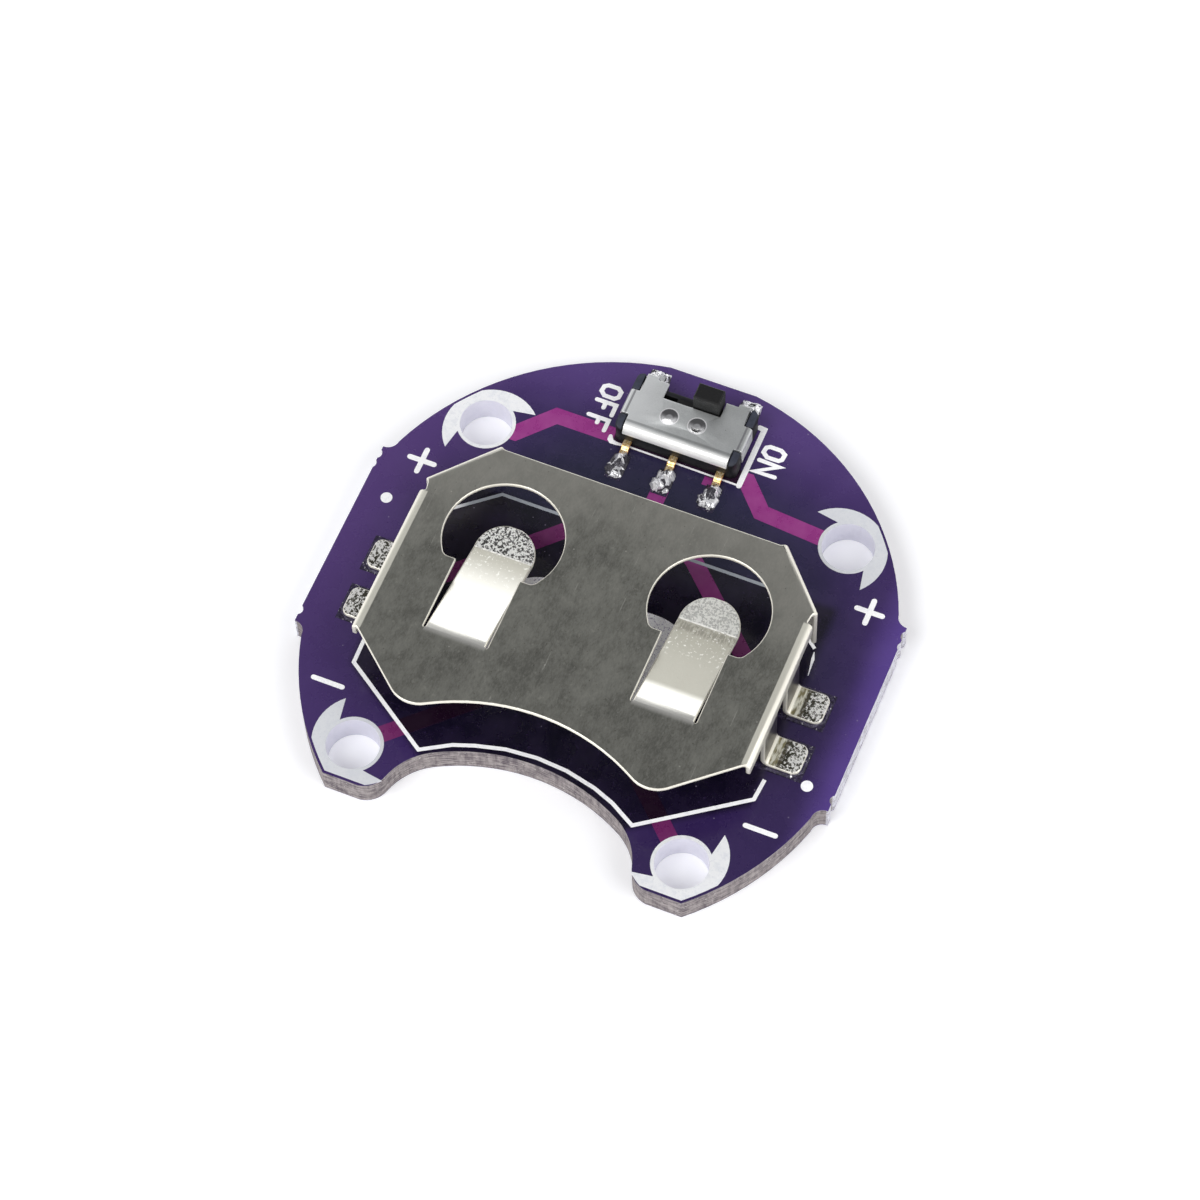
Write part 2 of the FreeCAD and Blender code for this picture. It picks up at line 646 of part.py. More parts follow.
clip = new_body("battery_clip")
flat_x = S["clip_half"] - S["bend_outer"]
stop_end_x = S["clip_half"] - S["stop_end_inset"]
slot_half = S["finger_half"] + S["slot_gap"]
plate = new_sketch(clip, "clip_plate", "XY", plate_under)
half = [
    (S["front_cusp_x"], S["front_cusp_y"], ("ccw", S["front_lobe_radius"])),
    (S["front_lobe_x"], S["front_lobe_y"], None),
    (flat_x, S["side_front_y"], None),
    (flat_x, S["side_rear_y"], None),
    (stop_end_x, S["stop_end_y"], None),
    (S["stop_apex_x"], S["stop_apex_y"], None),
]
corners = []
edges = {}
for x, y, how in half:
    if how is not None:
        edges[len(corners)] = how
    corners.append((x, y))
for i in range(len(half) - 1, -1, -1):
    x, y, how = half[i]
    before = half[i - 1][2] if i > 0 else ("cw", S["front_arc"])
    if before is not None:
        edges[len(corners)] = before
    corners.append((-x, y))
add_loop(plate, corners, edges)
pad(clip, "clip_plate_sheet", plate, S["sheet"])

openings = new_sketch(clip, "clip_windows", "XY", plate_under)
for side in (-1, 1):
    middle = side * S["window_x"]
    add_loop(openings, [
        (middle - slot_half, S["slot_root_y"]),
        (middle + slot_half, S["slot_root_y"]),
        (middle + slot_half, S["shoulder_y"]),
        (middle + S["shoulder_x"], S["shoulder_y"]),
        (middle + S["shoulder_end_x"], S["shoulder_end_y"]),
        (middle - S["shoulder_end_x"], S["shoulder_end_y"]),
        (middle - S["shoulder_x"], S["shoulder_y"]),
        (middle - slot_half, S["shoulder_y"]),
    ], {
        3: ("ccw", S["shoulder_radius"]),
        4: ("big", middle, S["window_y"], S["window_radius"]),
        5: ("ccw", S["shoulder_radius"]),
    })
pocket_through(clip, "clip_window_cuts", openings)


lip = new_sketch(clip, "clip_side_lip", "XZ", S["side_rear_y"])
fold_profile(lip, flat_x, S["bend_outer"], plate_top, S["sheet"], plate_top - S["lip_depth"])
lip_pad = pad(clip, "clip_side_fold", lip, S["side_rear_y"] - S["side_front_y"])

# rear stop walls, folded down along the two slanted rear edges
run = FreeCAD.Vector(stop_end_x.value - S["stop_apex_x"].value,
                     S["stop_end_y"].value - S["stop_apex_y"].value, 0)
angle = math.degrees(math.atan2(run.x, -run.y))
stop = clip.newObject("Sketcher::SketchObject", "clip_stop_profile")
stop.AttachmentSupport = [(plane_of(clip, "XZ"), "")]
stop.MapMode = "FlatFace"
stop.AttachmentOffset = FreeCAD.Placement(
    FreeCAD.Vector(S["stop_apex_x"].value, 0, -S["stop_apex_y"].value),
    FreeCAD.Rotation(FreeCAD.Vector(0, 1, 0), angle))
fold_profile(stop, Size.of(0.0), S["bend_outer"], plate_top, S["sheet"], board_top + S["stop_gap"])
stop_pad = pad(clip, "clip_stop_wall", stop, run.Length)

# legs and feet
leg = new_sketch(clip, "clip_leg", "XZ", S["foot_rear_y"])
foot_top = clip_bottom + S["sheet"]
knee = S["clip_half"] + S["foot_bend"]
leg_top = plate_top - S["lip_depth"]
add_loop(leg, [
    (S["clip_half"] - S["sheet"], leg_top),
    (S["clip_half"] - S["sheet"], foot_top + S["foot_bend"]),
    (knee, clip_bottom),
    (knee, foot_top),
    (S["clip_half"], foot_top + S["foot_bend"]),
    (S["clip_half"], leg_top),
], {
    1: ("ccw", S["foot_bend"] + S["sheet"]),
    3: ("cw", S["foot_bend"]),
})
leg_pad = pad(clip, "clip_leg_sheet", leg, S["foot_width"])
foot = new_sketch(clip, "clip_foot", "XY", clip_bottom)
foot_front = S["foot_rear_y"] - S["foot_width"]
add_loop(foot, [
    (knee, foot_front),
    (foot_end - S["foot_corner"], foot_front),
    (foot_end, foot_front + S["foot_corner"]),
    (foot_end, S["foot_rear_y"] - S["foot_corner"]),
    (foot_end - S["foot_corner"], S["foot_rear_y"]),
    (knee, S["foot_rear_y"]),
], {
    1: ("ccw", S["foot_corner"]),
    3: ("ccw", S["foot_corner"]),
})
foot_pad = pad(clip, "clip_foot_sheet", foot, S["sheet"])
pattern = clip.newObject("PartDesign::LinearPattern", "clip_leg_pair")
pattern.Originals = [leg_pad, foot_pad]
pattern.Direction = (plane_of(clip, "XZ"), [""])
pattern.Mode = "length" if "length" in pattern.getEnumerationsOfProperty("Mode") else pattern.Mode
pattern.Length = S["leg_spacing"].value
pattern.setExpression("Length", S["leg_spacing"].text)
pattern.Occurrences = 2
clip.Tip = pattern
doc.recompute()

# contact fingers, sloping down from the front into the windows
finger = new_sketch(clip, "clip_finger", "YZ", S["window_x"] - S["finger_half"])
root_y = S["slot_root_y"]
add_loop(finger, [
    (root_y, plate_under),
    (S["finger_low_bend_y"], plate_under - S["finger_low_bend_drop"]),
    (S["finger_low_fold_y"], board_top + S["finger_low_fold_z"]),
    (S["finger_low_tip_y"], board_top + S["finger_low_tip_z"]),
    (S["finger_tip_y"], board_top + S["finger_tip_z"]),
    (S["finger_fold_y"], board_top + S["finger_fold_z"]),
    (S["finger_bend_y"], plate_top - S["finger_bend_drop"]),
    (root_y, plate_top),
], {
    0: ("cw", S["finger_bend_radius"] - S["sheet"]),
    6: ("ccw", S["finger_bend_radius"]),
})
finger_pad = pad(clip, "clip_finger_sheet", finger, S["finger_half"] * 2)
tip = new_sketch(clip, "clip_finger_round", "XY", plate_under)
middle = S["window_x"]
add_loop(tip, [
    (middle - S["finger_half"], S["finger_round_y"]),
    (middle, S["finger_round_y"] + S["finger_half"]),
    (middle + S["finger_half"], S["finger_round_y"]),
    (middle + S["finger_half"] + 0.25, S["finger_round_y"]),
    (middle + S["finger_half"] + 0.25, S["finger_tip_y"] + 0.40),
    (middle - S["finger_half"] - 0.25, S["finger_tip_y"] + 0.40),
    (middle - S["finger_half"] - 0.25, S["finger_round_y"]),
], {
    0: ("cw", S["finger_half"]),
    1: ("cw", S["finger_half"]),
})
round_cut = pocket_through(clip, "clip_finger_tip", tip)
other = mirrored(clip, "clip_other_side", [lip_pad, stop_pad, finger_pad, round_cut])
legs_other = clip.newObject("PartDesign::MultiTransform", "clip_legs_other")
legs_other.Originals = [leg_pad, foot_pad]
step_a = clip.newObject("PartDesign::Mirrored", "legs_mirror")
step_a.MirrorPlane = (plane_of(clip, "YZ"), [""])
step_b = clip.newObject("PartDesign::LinearPattern", "legs_step")
step_b.Direction = (plane_of(clip, "XZ"), [""])
step_b.Length = S["leg_spacing"].value
step_b.setExpression("Length", S["leg_spacing"].text)
step_b.Occurrences = 2
legs_other.Transformations = [step_a, step_b]
clip.Tip = legs_other
node(clip, "battery_clip")
doc.recompute()

# ---------------------------------------------------------------- solder at the clip feet

for side_name, side in (("left", -1), ("right", 1)):
    for place, shift in (("rear", 0), ("front", 1)):
        name = "clip_solder_%s_%s" % (side_name, place)
        body = new_body(name + "_mound")
        sketch = new_sketch(body, name + "_foot", "XY", pad_top)
        margin = S["solder_margin"]
        rear = S["foot_rear_y"] - shift * S["leg_spacing"]
        front = rear - S["foot_width"]
        inner = S["clip_half"] + 0.02
        outer = foot_end + margin
        corner = S["foot_corner"] + margin / 2
        x_inner, x_corner, x_outer = side * inner, side * (outer - corner), side * outer
        add_loop(sketch, [
            (x_inner, front - margin),
            (x_corner, front - margin),
            (x_outer, front - margin + corner),
            (x_outer, rear + margin - corner),
            (x_corner, rear + margin),
            (x_inner, rear + margin),
        ])
        mound = pad(body, name + "_body", sketch, S["solder_height"])
        bevel_top(body, name + "_bevel", mound, S["solder_bevel"])
        node(cut(name, body, clip), name)

# ---------------------------------------------------------------- switch


def terminal(label, step):
    name = "switch_terminal_" + label
    body = new_body(name)
    middle = S["switch_x"] + step * S["lead_pitch"]
    side_view = new_sketch(body, name + "_side", "YZ", middle - S["lead_width"] / 2)
    low = pad_top + S["solder_film"]
    level = board_top + S["lead_level"]
    thick = S["lead_sheet"]
    add_loop(side_view, [
        (S["lead_foot_end_y"], low),
        (S["lead_foot_start_y"], low),
        (S["lead_rise_y"], level - thick),
        (S["lead_inner_y"], level - thick),
        (S["lead_inner_y"], level),
        (S["lead_rise_y"] - 0.06, level),
        (S["lead_foot_start_y"] - 0.06, low + thick),
        (S["lead_foot_end_y"], low + thick),
    ])
    pad(body, name + "_strip", side_view, S["lead_width"])
    top_view = new_sketch(body, name + "_contact", "XY", level - thick)
    if step == 0:
        span = rectangle(middle - 0.80, S["channel_front_y"] + 0.15, middle + 0.80, S["lead_inner_y"])
    elif step < 0:
        span = rectangle(middle - 0.25, S["channel_front_y"] + 0.15, middle + 1.45, S["lead_inner_y"])
    else:
        span = rectangle(middle - 1.45, S["channel_front_y"] + 0.15, middle + 0.25, S["lead_inner_y"])
    add_loop(top_view, span)
    pad(body, name + "_plate", top_view, thick)
    return node(body, name)


terminals = [terminal(label, step) for label, step in LEADS.items()]

roof_low = board_top + S["base_height"]
roof_top = roof_low + S["cover_sheet"]
cx = S["switch_x"]

# housing: rounded block whose four corner posts stand above the cover's underside
base_body = new_body("switch_base_block")
outline = new_sketch(base_body, "base_outline", "XY", board_top)
post_x = S["cover_half"] + S["post_gap"]
soft = S["base_corner"]
right = [(post_x, S["base_rear_y"]), (post_x, S["post_rear_y"]), (S["base_half"] - soft, S["post_rear_y"]),
         (S["base_half"], S["post_rear_y"] - soft), (S["base_half"], S["base_front_y"] + soft),
         (S["base_half"] - soft, S["base_front_y"])]
add_loop(outline, [(cx + x, y) for x, y in right] + [(cx - x, y) for x, y in right[::-1]],
         {2: ("cw", soft), 4: ("cw", soft), 6: ("cw", soft), 8: ("cw", soft)})
pad(base_body, "base_block", outline, S["base_height"] + S["post_rise"])
deck = new_sketch(base_body, "base_deck", "XY", roof_low + S["post_rise"])
add_loop(deck, rectangle(cx - post_x, S["base_front_y"] - soft, cx + post_x, S["post_rear_y"] + soft))
pocket_down(base_body, "base_deck_cut", deck, S["post_rise"])
# the posts end where the cover's ears pass over the housing
pass_over = new_sketch(base_body, "base_ear_deck", "XY", roof_low + S["post_rise"])
add_loop(pass_over, rectangle(cx - S["base_half"] - soft, S["ear_front_y"] - S["post_gap"],
                              cx + S["base_half"] + soft, S["ear_rear_y"] + S["post_gap"]))
pocket_down(base_body, "base_ear_deck_cut", pass_over, S["post_rise"])
# waist at both ends where the cover ears hook over
waist = new_sketch(base_body, "base_waist", "XY", board_top)
ear_in = S["ear_reach"] - S["cover_sheet"]
for side in (-1, 1):
    near = cx + side * (S["ear_reach"] - S["ear_bend"])
    far = cx + side * (S["base_half"] + soft)
    add_loop(waist, rectangle(near, S["ear_front_y"] - S["post_gap"], far, S["ear_rear_y"] + S["post_gap"]))
waist_cut = pocket_through(base_body, "base_waist_cut", waist)
bevel_top(base_body, "base_post_bevel", waist_cut, S["post_bevel"])
channel = new_sketch(base_body, "base_channel", "XY", roof_low)
add_loop(channel, rectangle(cx - S["channel_half"], S["channel_front_y"], cx + S["channel_half"], S["channel_rear_y"]))
pocket_down(base_body, "base_channel_cut", channel, S["base_height"] - S["channel_floor"])
# low sill behind the knob, set in from the rear face
sill_left, sill_right = cx + S["slot_left"] - S["post_gap"], cx + S["slot_right"] + S["post_gap"]
sill = new_sketch(base_body, "base_sill", "XY", roof_low)
add_loop(sill, rectangle(sill_left, S["channel_rear_y"] - soft, sill_right, S["base_rear_y"] + soft))
pocket_down(base_body, "base_sill_cut", sill, S["base_height"] - S["sill_height"])
recess = new_sketch(base_body, "base_recess", "XY", roof_low)
add_loop(recess, rectangle(sill_left, S["sill_rear_y"], sill_right, S["base_rear_y"] + soft))
pocket_through(base_body, "base_recess_cut", recess)
# rebate that takes the cover's front bend
bend_y = S["cover_front_y"] + S["cover_bend"]
hollow = S["cover_bend"] - S["cover_sheet"] - S["rebate_gap"]
lip_low = roof_top - S["cover_bend"] - S["cover_lip"]
rebate = new_body("base_rebate")
rebate_side = new_sketch(rebate, "base_rebate_side", "YZ", cx - post_x)
add_loop(rebate_side, [
    (S["cover_front_y"] - soft, lip_low - S["rebate_gap"]),
    (bend_y - hollow, lip_low - S["rebate_gap"]),
    (bend_y - hollow, roof_top - S["cover_bend"]),
    (bend_y, roof_top - S["cover_bend"] + hollow),
    (bend_y, roof_top),
    (S["cover_front_y"] - soft, roof_top),
], {2: ("cw", hollow)})
pad(rebate, "base_rebate_block", rebate_side, post_x * 2)
base_tools = doc.addObject("Part::Compound", "base_tools")
base_tools.Links = terminals + [rebate]
node(cut("switch_base", base_body, base_tools), "switch_base")

# cover: flat roof with the knob's slot, bent down in front and over both ends
cover = new_body("switch_cover_sheet")
roof = new_sketch(cover, "cover_roof", "XY", roof_low)
right = [(S["cover_half"], bend_y), (S["cover_half"], S["ear_front_y"]),
         (S["ear_reach"] - S["ear_bend"], S["ear_front_y"]), (S["ear_reach"] - S["ear_bend"], S["ear_rear_y"]),
         (S["cover_half"], S["ear_rear_y"]), (S["cover_half"], S["cover_rear_y"])]
add_loop(roof, [(cx + x, y) for x, y in right] + [
    (cx + S["slot_right"], S["cover_rear_y"]),
    (cx + S["slot_right"], S["slot_front_y"]),
    (cx + S["slot_left"], S["slot_front_y"]),
    (cx + S["slot_left"], S["cover_rear_y"]),
] + [(cx - x, y) for x, y in right[::-1]])
pad(cover, "cover_roof_sheet", roof, S["cover_sheet"])
front_fold = new_sketch(cover, "cover_front_side", "YZ", cx - S["cover_half"])
fold_profile(front_fold, bend_y, -S["cover_bend"], roof_top, S["cover_sheet"], lip_low)
pad(cover, "cover_front_fold", front_fold, S["cover_half"] * 2)
for side, side_name in ((-1, "left"), (1, "right")):
    ear = new_sketch(cover, "cover_ear_" + side_name, "XZ", S["ear_rear_y"])
    fold_profile(ear, cx + side * (S["ear_reach"] - S["ear_bend"]), side * S["ear_bend"], roof_top,
                 S["cover_sheet"], roof_low - S["ear_drop"])
    pad(cover, "cover_ear_fold_" + side_name, ear, S["ear_rear_y"] - S["ear_front_y"])
# two tabs at the rear, folded down and out to the board
hold = new_sketch(cover, "cover_hold_side", "YZ", cx - S["hold_step"] - S["hold_width"] / 2)
hold_low = pad_top + S["solder_film"]
hold_points = [
    (S["cover_rear_y"] - 0.05, roof_low),
    (S["cover_rear_y"] + 0.03, roof_low),
    (S["cover_rear_y"] + 0.03, hold_low),
    (S["hold_end_y"], hold_low),
    (S["hold_end_y"], hold_low + S["cover_sheet"]),
    (S["cover_rear_y"] + 0.03 + S["cover_sheet"], hold_low + S["cover_sheet"]),
    (S["cover_rear_y"] + 0.03 + S["cover_sheet"], roof_low + S["cover_sheet"]),
    (S["cover_rear_y"] - 0.05, roof_low + S["cover_sheet"]),
]
add_loop(hold, hold_points)
pad(cover, "cover_hold_left", hold, S["hold_width"])
hold_b = new_sketch(cover, "cover_hold_side_b", "YZ", cx + S["hold_step"] - S["hold_width"] / 2)
add_loop(hold_b, hold_points)
pad(cover, "cover_hold_right", hold_b, S["hold_width"])
# two dents pressed into the roof: caps of a sphere with the dent's radius and depth
ball_radius = (S["dimple_radius"].value ** 2 + S["dimple_depth"].value ** 2) / (2 * S["dimple_depth"].value)
dents = []
for side in (-1, 1):
    ball = doc.addObject("Part::Sphere", "cover_dent")
    ball.Radius = ball_radius
    ball.Placement.Base = FreeCAD.Vector((cx + S["dimple_x"] + side * S["dimple_spacing"] / 2).value, S["dimple_y"].value,
                                         roof_top.value + ball_radius - S["dimple_depth"].value)
    dents.append(ball)
dent_group = doc.addObject("Part::Compound", "cover_dents")
dent_group.Links = dents
node(cut("switch_cover", cover, dent_group), "switch_cover")

knob = new_body("switch_knob")
clear = S["slide_clearance"]
kx = cx + S["knob_x"]
slider = new_sketch(knob, "knob_slider", "XY", board_top + S["slider_bottom"])
add_loop(slider, rectangle(kx - S["slider_half"], S["channel_front_y"] + clear,
                           kx + S["slider_half"], S["channel_rear_y"] - clear))
pad(knob, "knob_slider_block", slider, S["base_height"] - S["slider_bottom"] - clear)
finger_top = new_sketch(knob, "knob_grip", "XY", board_top + S["sill_height"] + clear)
add_loop(finger_top, rectangle(kx - S["knob_width"] / 2, S["knob_front_y"], kx + S["knob_width"] / 2, S["knob_rear_y"]))
grip = pad(knob, "knob_grip_block", finger_top, S["knob_top"] - S["sill_height"] - clear)
bevel_top(knob, "knob_grip_bevel", grip, S["knob_bevel"])
node(knob, "switch_knob")

wiper = new_body("switch_wiper")
wiper_side = new_sketch(wiper, "wiper_side", "XZ", S["wiper_y"] + S["wiper_width"] / 2)
w_top = board_top + S["slider_bottom"]
w_low = board_top + S["lead_level"] + S["contact_gap"]
ws = S["wiper_sheet"]
add_loop(wiper_side, [
    (kx - S["wiper_half"], w_top - ws * 2),
    (kx - S["wiper_contact"], w_low),
    (kx - 0.25, w_top - ws),
    (kx + 0.25, w_top - ws),
    (kx + S["wiper_contact"], w_low),
    (kx + S["wiper_half"], w_top - ws * 2),
    (kx + S["wiper_half"], w_top - ws * 0.9),
    (kx + S["wiper_contact"], w_low + ws * 1.2),
    (kx + 0.25, w_top),
    (kx - 0.25, w_top),
    (kx - S["wiper_contact"], w_low + ws * 1.2),
    (kx - S["wiper_half"], w_top - ws * 0.9),
])
pad(wiper, "wiper_strip", wiper_side, S["wiper_width"])
node(wiper, "switch_wiper")

# ---------------------------------------------------------------- solder at the switch


def solder_mound(name, x, kind, tool):
    """Eight-cornered mound with a bevelled top round one lead or tab."""
    half, reach = S[kind + "_mound_half"], S[kind + "_mound_reach"]
    y = S[kind + "_mound_y"]
    nip = half / 2
    body = new_body(name + "_mound")
    sketch = new_sketch(body, name + "_foot", "XY", pad_top)
    add_loop(sketch, [(x - nip, y - reach), (x + nip, y - reach), (x + half, y - reach + nip), (x + half, y + reach - nip),
                      (x + nip, y + reach), (x - nip, y + reach), (x - half, y + reach - nip), (x - half, y - reach + nip)])
    mound = pad(body, name + "_body", sketch, S[kind + "_mound_rise"])
    bevel_top(body, name + "_bevel", mound, S["mound_bevel"])
    node(cut(name, body, tool), name)


for (label, step), part in zip(LEADS.items(), terminals):
    solder_mound("terminal_solder_" + label, S["switch_x"] + step * S["lead_pitch"], "lead", part)
for label, side in (("left", -1), ("right", 1)):
    solder_mound("hold_solder_" + label, S["switch_x"] + side * S["hold_step"], "hold", cover)

doc.recompute()

# ---------------------------------------------------------------- write the parts

broken = []
for label, obj in NODES.items():
    problems = [word for word in obj.State if word in ("Invalid", "Error")]
    if problems or obj.Shape.isNull() or not obj.Shape.isValid():
        raise RuntimeError("%s is not sound: %s" % (label, obj.State))
    solids = obj.Shape.Solids
    if len(solids) != 1:
        broken.append("%s has %d solids" % (label, len(solids)))
    obj.Shape.exportStep("parts/%s.step" % label)
    box = obj.Shape.BoundBox
    print("%-26s vol %9.4f  x %7.2f..%7.2f  y %7.2f..%7.2f  z %6.3f..%6.3f" % (
        label, obj.Shape.Volume, box.XMin, box.XMax, box.YMin, box.YMax, box.ZMin, box.ZMax))
if broken:
    raise RuntimeError("; ".join(broken))
print("parts written:", len(NODES))
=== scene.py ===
import math

import bmesh
import bpy
import numpy as np
from bpy.props import FloatProperty, FloatVectorProperty, PointerProperty
from bpy.types import Operator, Panel, PropertyGroup
from mathutils import Matrix, Vector


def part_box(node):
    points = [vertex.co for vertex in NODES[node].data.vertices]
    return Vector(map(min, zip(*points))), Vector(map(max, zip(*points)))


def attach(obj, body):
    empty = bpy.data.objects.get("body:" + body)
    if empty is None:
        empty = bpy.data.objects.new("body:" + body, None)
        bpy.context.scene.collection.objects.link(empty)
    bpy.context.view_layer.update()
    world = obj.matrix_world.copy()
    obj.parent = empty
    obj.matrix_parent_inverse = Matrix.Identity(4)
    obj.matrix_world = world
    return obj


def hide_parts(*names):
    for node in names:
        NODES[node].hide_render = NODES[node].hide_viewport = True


bl_info = {
    "name": "Coin Cell Holder Board",
    "version": (1, 0, 0),
    "blender": (4, 5, 0),
    "location": "View3D > Sidebar > Cell Holder",
    "description": "Dresses the sew-on coin cell holder",
    "category": "Object",
}

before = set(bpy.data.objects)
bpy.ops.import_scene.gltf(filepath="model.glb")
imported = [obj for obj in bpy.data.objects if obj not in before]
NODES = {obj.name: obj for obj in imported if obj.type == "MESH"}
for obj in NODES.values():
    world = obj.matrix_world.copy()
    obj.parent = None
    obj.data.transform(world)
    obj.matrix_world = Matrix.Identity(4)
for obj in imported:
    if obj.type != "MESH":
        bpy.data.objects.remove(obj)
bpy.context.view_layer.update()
MM = 0.001


def top_of(node):
    """Height of a node's highest point, in millimetres."""
    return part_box(node)[1].z / MM


BOARD_TOP = top_of("mask_top")
PAD_TOP = top_of("contact_pad")
SEED = 7


# ---- shader maths

class Wire:
    """An output socket that takes part in sums: each operation adds one Math node."""

    def __init__(self, nodes, socket):
        self.nodes = nodes
        self.socket = socket

    def maths(self, operation, *values):
        return self.nodes.add("Math", dict(enumerate(values)), operation=operation)

    def __add__(self, other):
        return self.maths("ADD", self, other)

    def __radd__(self, other):
        return self.maths("ADD", other, self)

    def __sub__(self, other):
        return self.maths("SUBTRACT", self, other)

    def __rsub__(self, other):
        return self.maths("SUBTRACT", other, self)

    def __mul__(self, other):
        return self.maths("MULTIPLY", self, other)

    def __rmul__(self, other):
        return self.maths("MULTIPLY", other, self)

    def __pow__(self, other):
        return self.maths("POWER", self, other)

    def __rpow__(self, other):
        return self.maths("POWER", other, self)

    def __abs__(self):
        return self.maths("ABSOLUTE", self)

    def larger(self, other):
        return self.maths("MAXIMUM", self, other)


class Nodes:
    """The node tree of a new material or world. Every node but the sums comes from add()."""

    def __init__(self, owner):
        owner.use_nodes = True
        self.owner = owner
        self.tree = owner.node_tree
        self.tree.nodes.clear()

    def add(self, kind, inputs=None, out=0, **settings):
        """Adds a shader node: its settings first, then values or links for its sockets; returns one
        output, or the node itself where `out` is None."""
        node = self.tree.nodes.new("ShaderNode" + kind)
        for key, value in settings.items():
            if key == "stops":
                for element, (at, colour) in zip(node.color_ramp.elements, value):
                    element.position = at
                    element.color = colour
            else:
                setattr(node, key, value)
        for key, value in (inputs or {}).items():
            socket = node.inputs[key]
            if isinstance(value, Wire):
                self.tree.links.new(value.socket, socket)
            else:
                socket.default_value = value
        if out is None:
            return node
        return Wire(self, node.outputs[out])


class Finish(Nodes):
    """One procedural material on Object coordinates: x, y and z are in millimetres, and `body` is
    its colour so far."""

    def __init__(self, name):
        super().__init__(bpy.data.materials.new(name))
        self.place = self.add("TexCoord", out="Object")
        parts = self.add("SeparateXYZ", {0: self.place}, out=None)
        self.x, self.y, self.z = (Wire(self, socket) * 1000.0 for socket in parts.outputs)

    def spread(self, scale, turn=0.0):
        """Object coordinates turned about Z and stretched."""
        return self.add("Mapping", {"Vector": self.place, "Rotation": (0, 0, turn), "Scale": scale})

    def noise(self, size, detail=3.0, rough=0.55, on=None, shift=0.0):
        """Soft random value whose blotches are about `size` millimetres across."""
        return self.add("TexNoise", {"Vector": on or self.place, "W": shift, "Scale": 1 / (size * MM),
                                     "Detail": detail, "Roughness": rough}, noise_dimensions="4D")

    def cells(self, size):
        """Distance to the nearest of random points about `size` millimetres apart."""
        return self.add("TexVoronoi", {"Vector": self.place, "Scale": 1 / (size * MM)}, out="Distance")

    def step(self, value, low, high, at_low=0.0, at_high=1.0):
        """Value mapped smoothly from low..high to at_low..at_high and held there."""
        return self.add("MapRange", {"Value": value, "From Min": low, "From Max": high, "To Min": at_low,
                                     "To Max": at_high}, interpolation_type="SMOOTHSTEP")

    def varied(self, noise, low, high):
        """The usual values of a noise, 0.3 to 0.7, mapped to low..high."""
        return self.step(noise, 0.3, 0.7, low, high)

    def mix(self, share, first, second):
        """Colour mix; share 0 gives the first colour. The node's colours are its sockets 6, 7 and 2."""
        return self.add("Mix", {"Factor": share, 6: first, 7: second}, out=2, data_type="RGBA")

    def lay(self, share, *colour):
        """Lays a screen colour over the body; share 1 hides what is below."""
        self.body = self.mix(share, self.body, tint(*colour))

    def facing(self, axis="Z"):
        """One part of the surface normal; for Z it is 1 on tops and 0 on upright cut edges."""
        normal = self.add("NewGeometry", out="Normal")
        return self.add("SeparateXYZ", {0: normal}, out=axis)

    def relief(self, height, depth, strength):
        """Bump whose full height is `depth` millimetres."""
        return self.add("Bump", {"Height": height, "Distance": depth * MM, "Strength": strength})

    def surface(self, **sockets):
        """Closes the material with a Principled shader on the body; keys are its socket names."""
        inputs = {key.replace("_", " "): value for key, value in sockets.items()}
        shader = self.add("BsdfPrincipled", {"Base Color": self.body, **inputs})
        self.add("OutputMaterial", {"Surface": shader}, out=None)
        return self.owner


def tint(red, green, blue):
    """Screen colour 0..255 as linear light."""
    values = np.array([red, green, blue]) / 255.0
    linear = np.where(values <= 0.04045, values / 12.92, ((values + 0.055) / 1.055) ** 2.4)
    return tuple(float(v) for v in linear) + (1.0,)


# ---- mesh makers

def set_down(name, mesh, material, stands_for, smooth=True):
    """Puts a mesh into the scene as a piece that rides on the holder, with its material, its finish
    slot and the CAD nodes that it stands for."""
    mesh.polygons.foreach_set("use_smooth", np.full(len(mesh.polygons), smooth))
    mesh.materials.clear()
    mesh.materials.append(material)
    piece = bpy.data.objects.new(name, mesh)
    bpy.context.scene.collection.objects.link(piece)
    if stands_for:
        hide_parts(*stands_for)
    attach(piece, "holder")
    return piece


def new_piece(name, parts, material, stands_for=(), smooth=False):
    """One mesh from parts, each of points in millimetres (n, 3) and quads (m, 4); a repeated last
    corner is a triangle. A fourth column of the points is kept as the attribute `hollow`."""
    starts = np.cumsum([0] + [len(part[0]) for part in parts])
    points = np.vstack([part[0] for part in parts])
    quads = np.vstack([part[1] + start for part, start in zip(parts, starts)])
    counts = np.where(quads[:, 2] == quads[:, 3], 3, 4)
    corners = quads.reshape(-1)[np.arange(quads.size) % 4 < np.repeat(counts, 4)]
    mesh = bpy.data.meshes.new(name)
    mesh.vertices.add(len(points))
    mesh.vertices.foreach_set("co", (points[:, :3] * MM).reshape(-1))
    mesh.loops.add(len(corners))
    mesh.loops.foreach_set("vertex_index", corners)
    mesh.polygons.add(len(quads))
    mesh.polygons.foreach_set("loop_start", np.concatenate([[0], np.cumsum(counts)[:-1]]))
    mesh.update(calc_edges=True)
    mesh.validate()
    if points.shape[1] > 3:
        mesh.attributes.new("hollow", "FLOAT", "POINT").data.foreach_set("value", points[:, 3])
    set_down(name, mesh, material, stands_for, smooth)


ROLL = {"start": 12.96, "reach": 0.56, "drop": 0.17, "foot": 1.75, "full": 2.7, "bands": 8}
MERGE = 0.0008    # points nearer than this are one, in millimetres
ONE_PLANE = 0.6   # faces that turn by less than this are one, in degrees


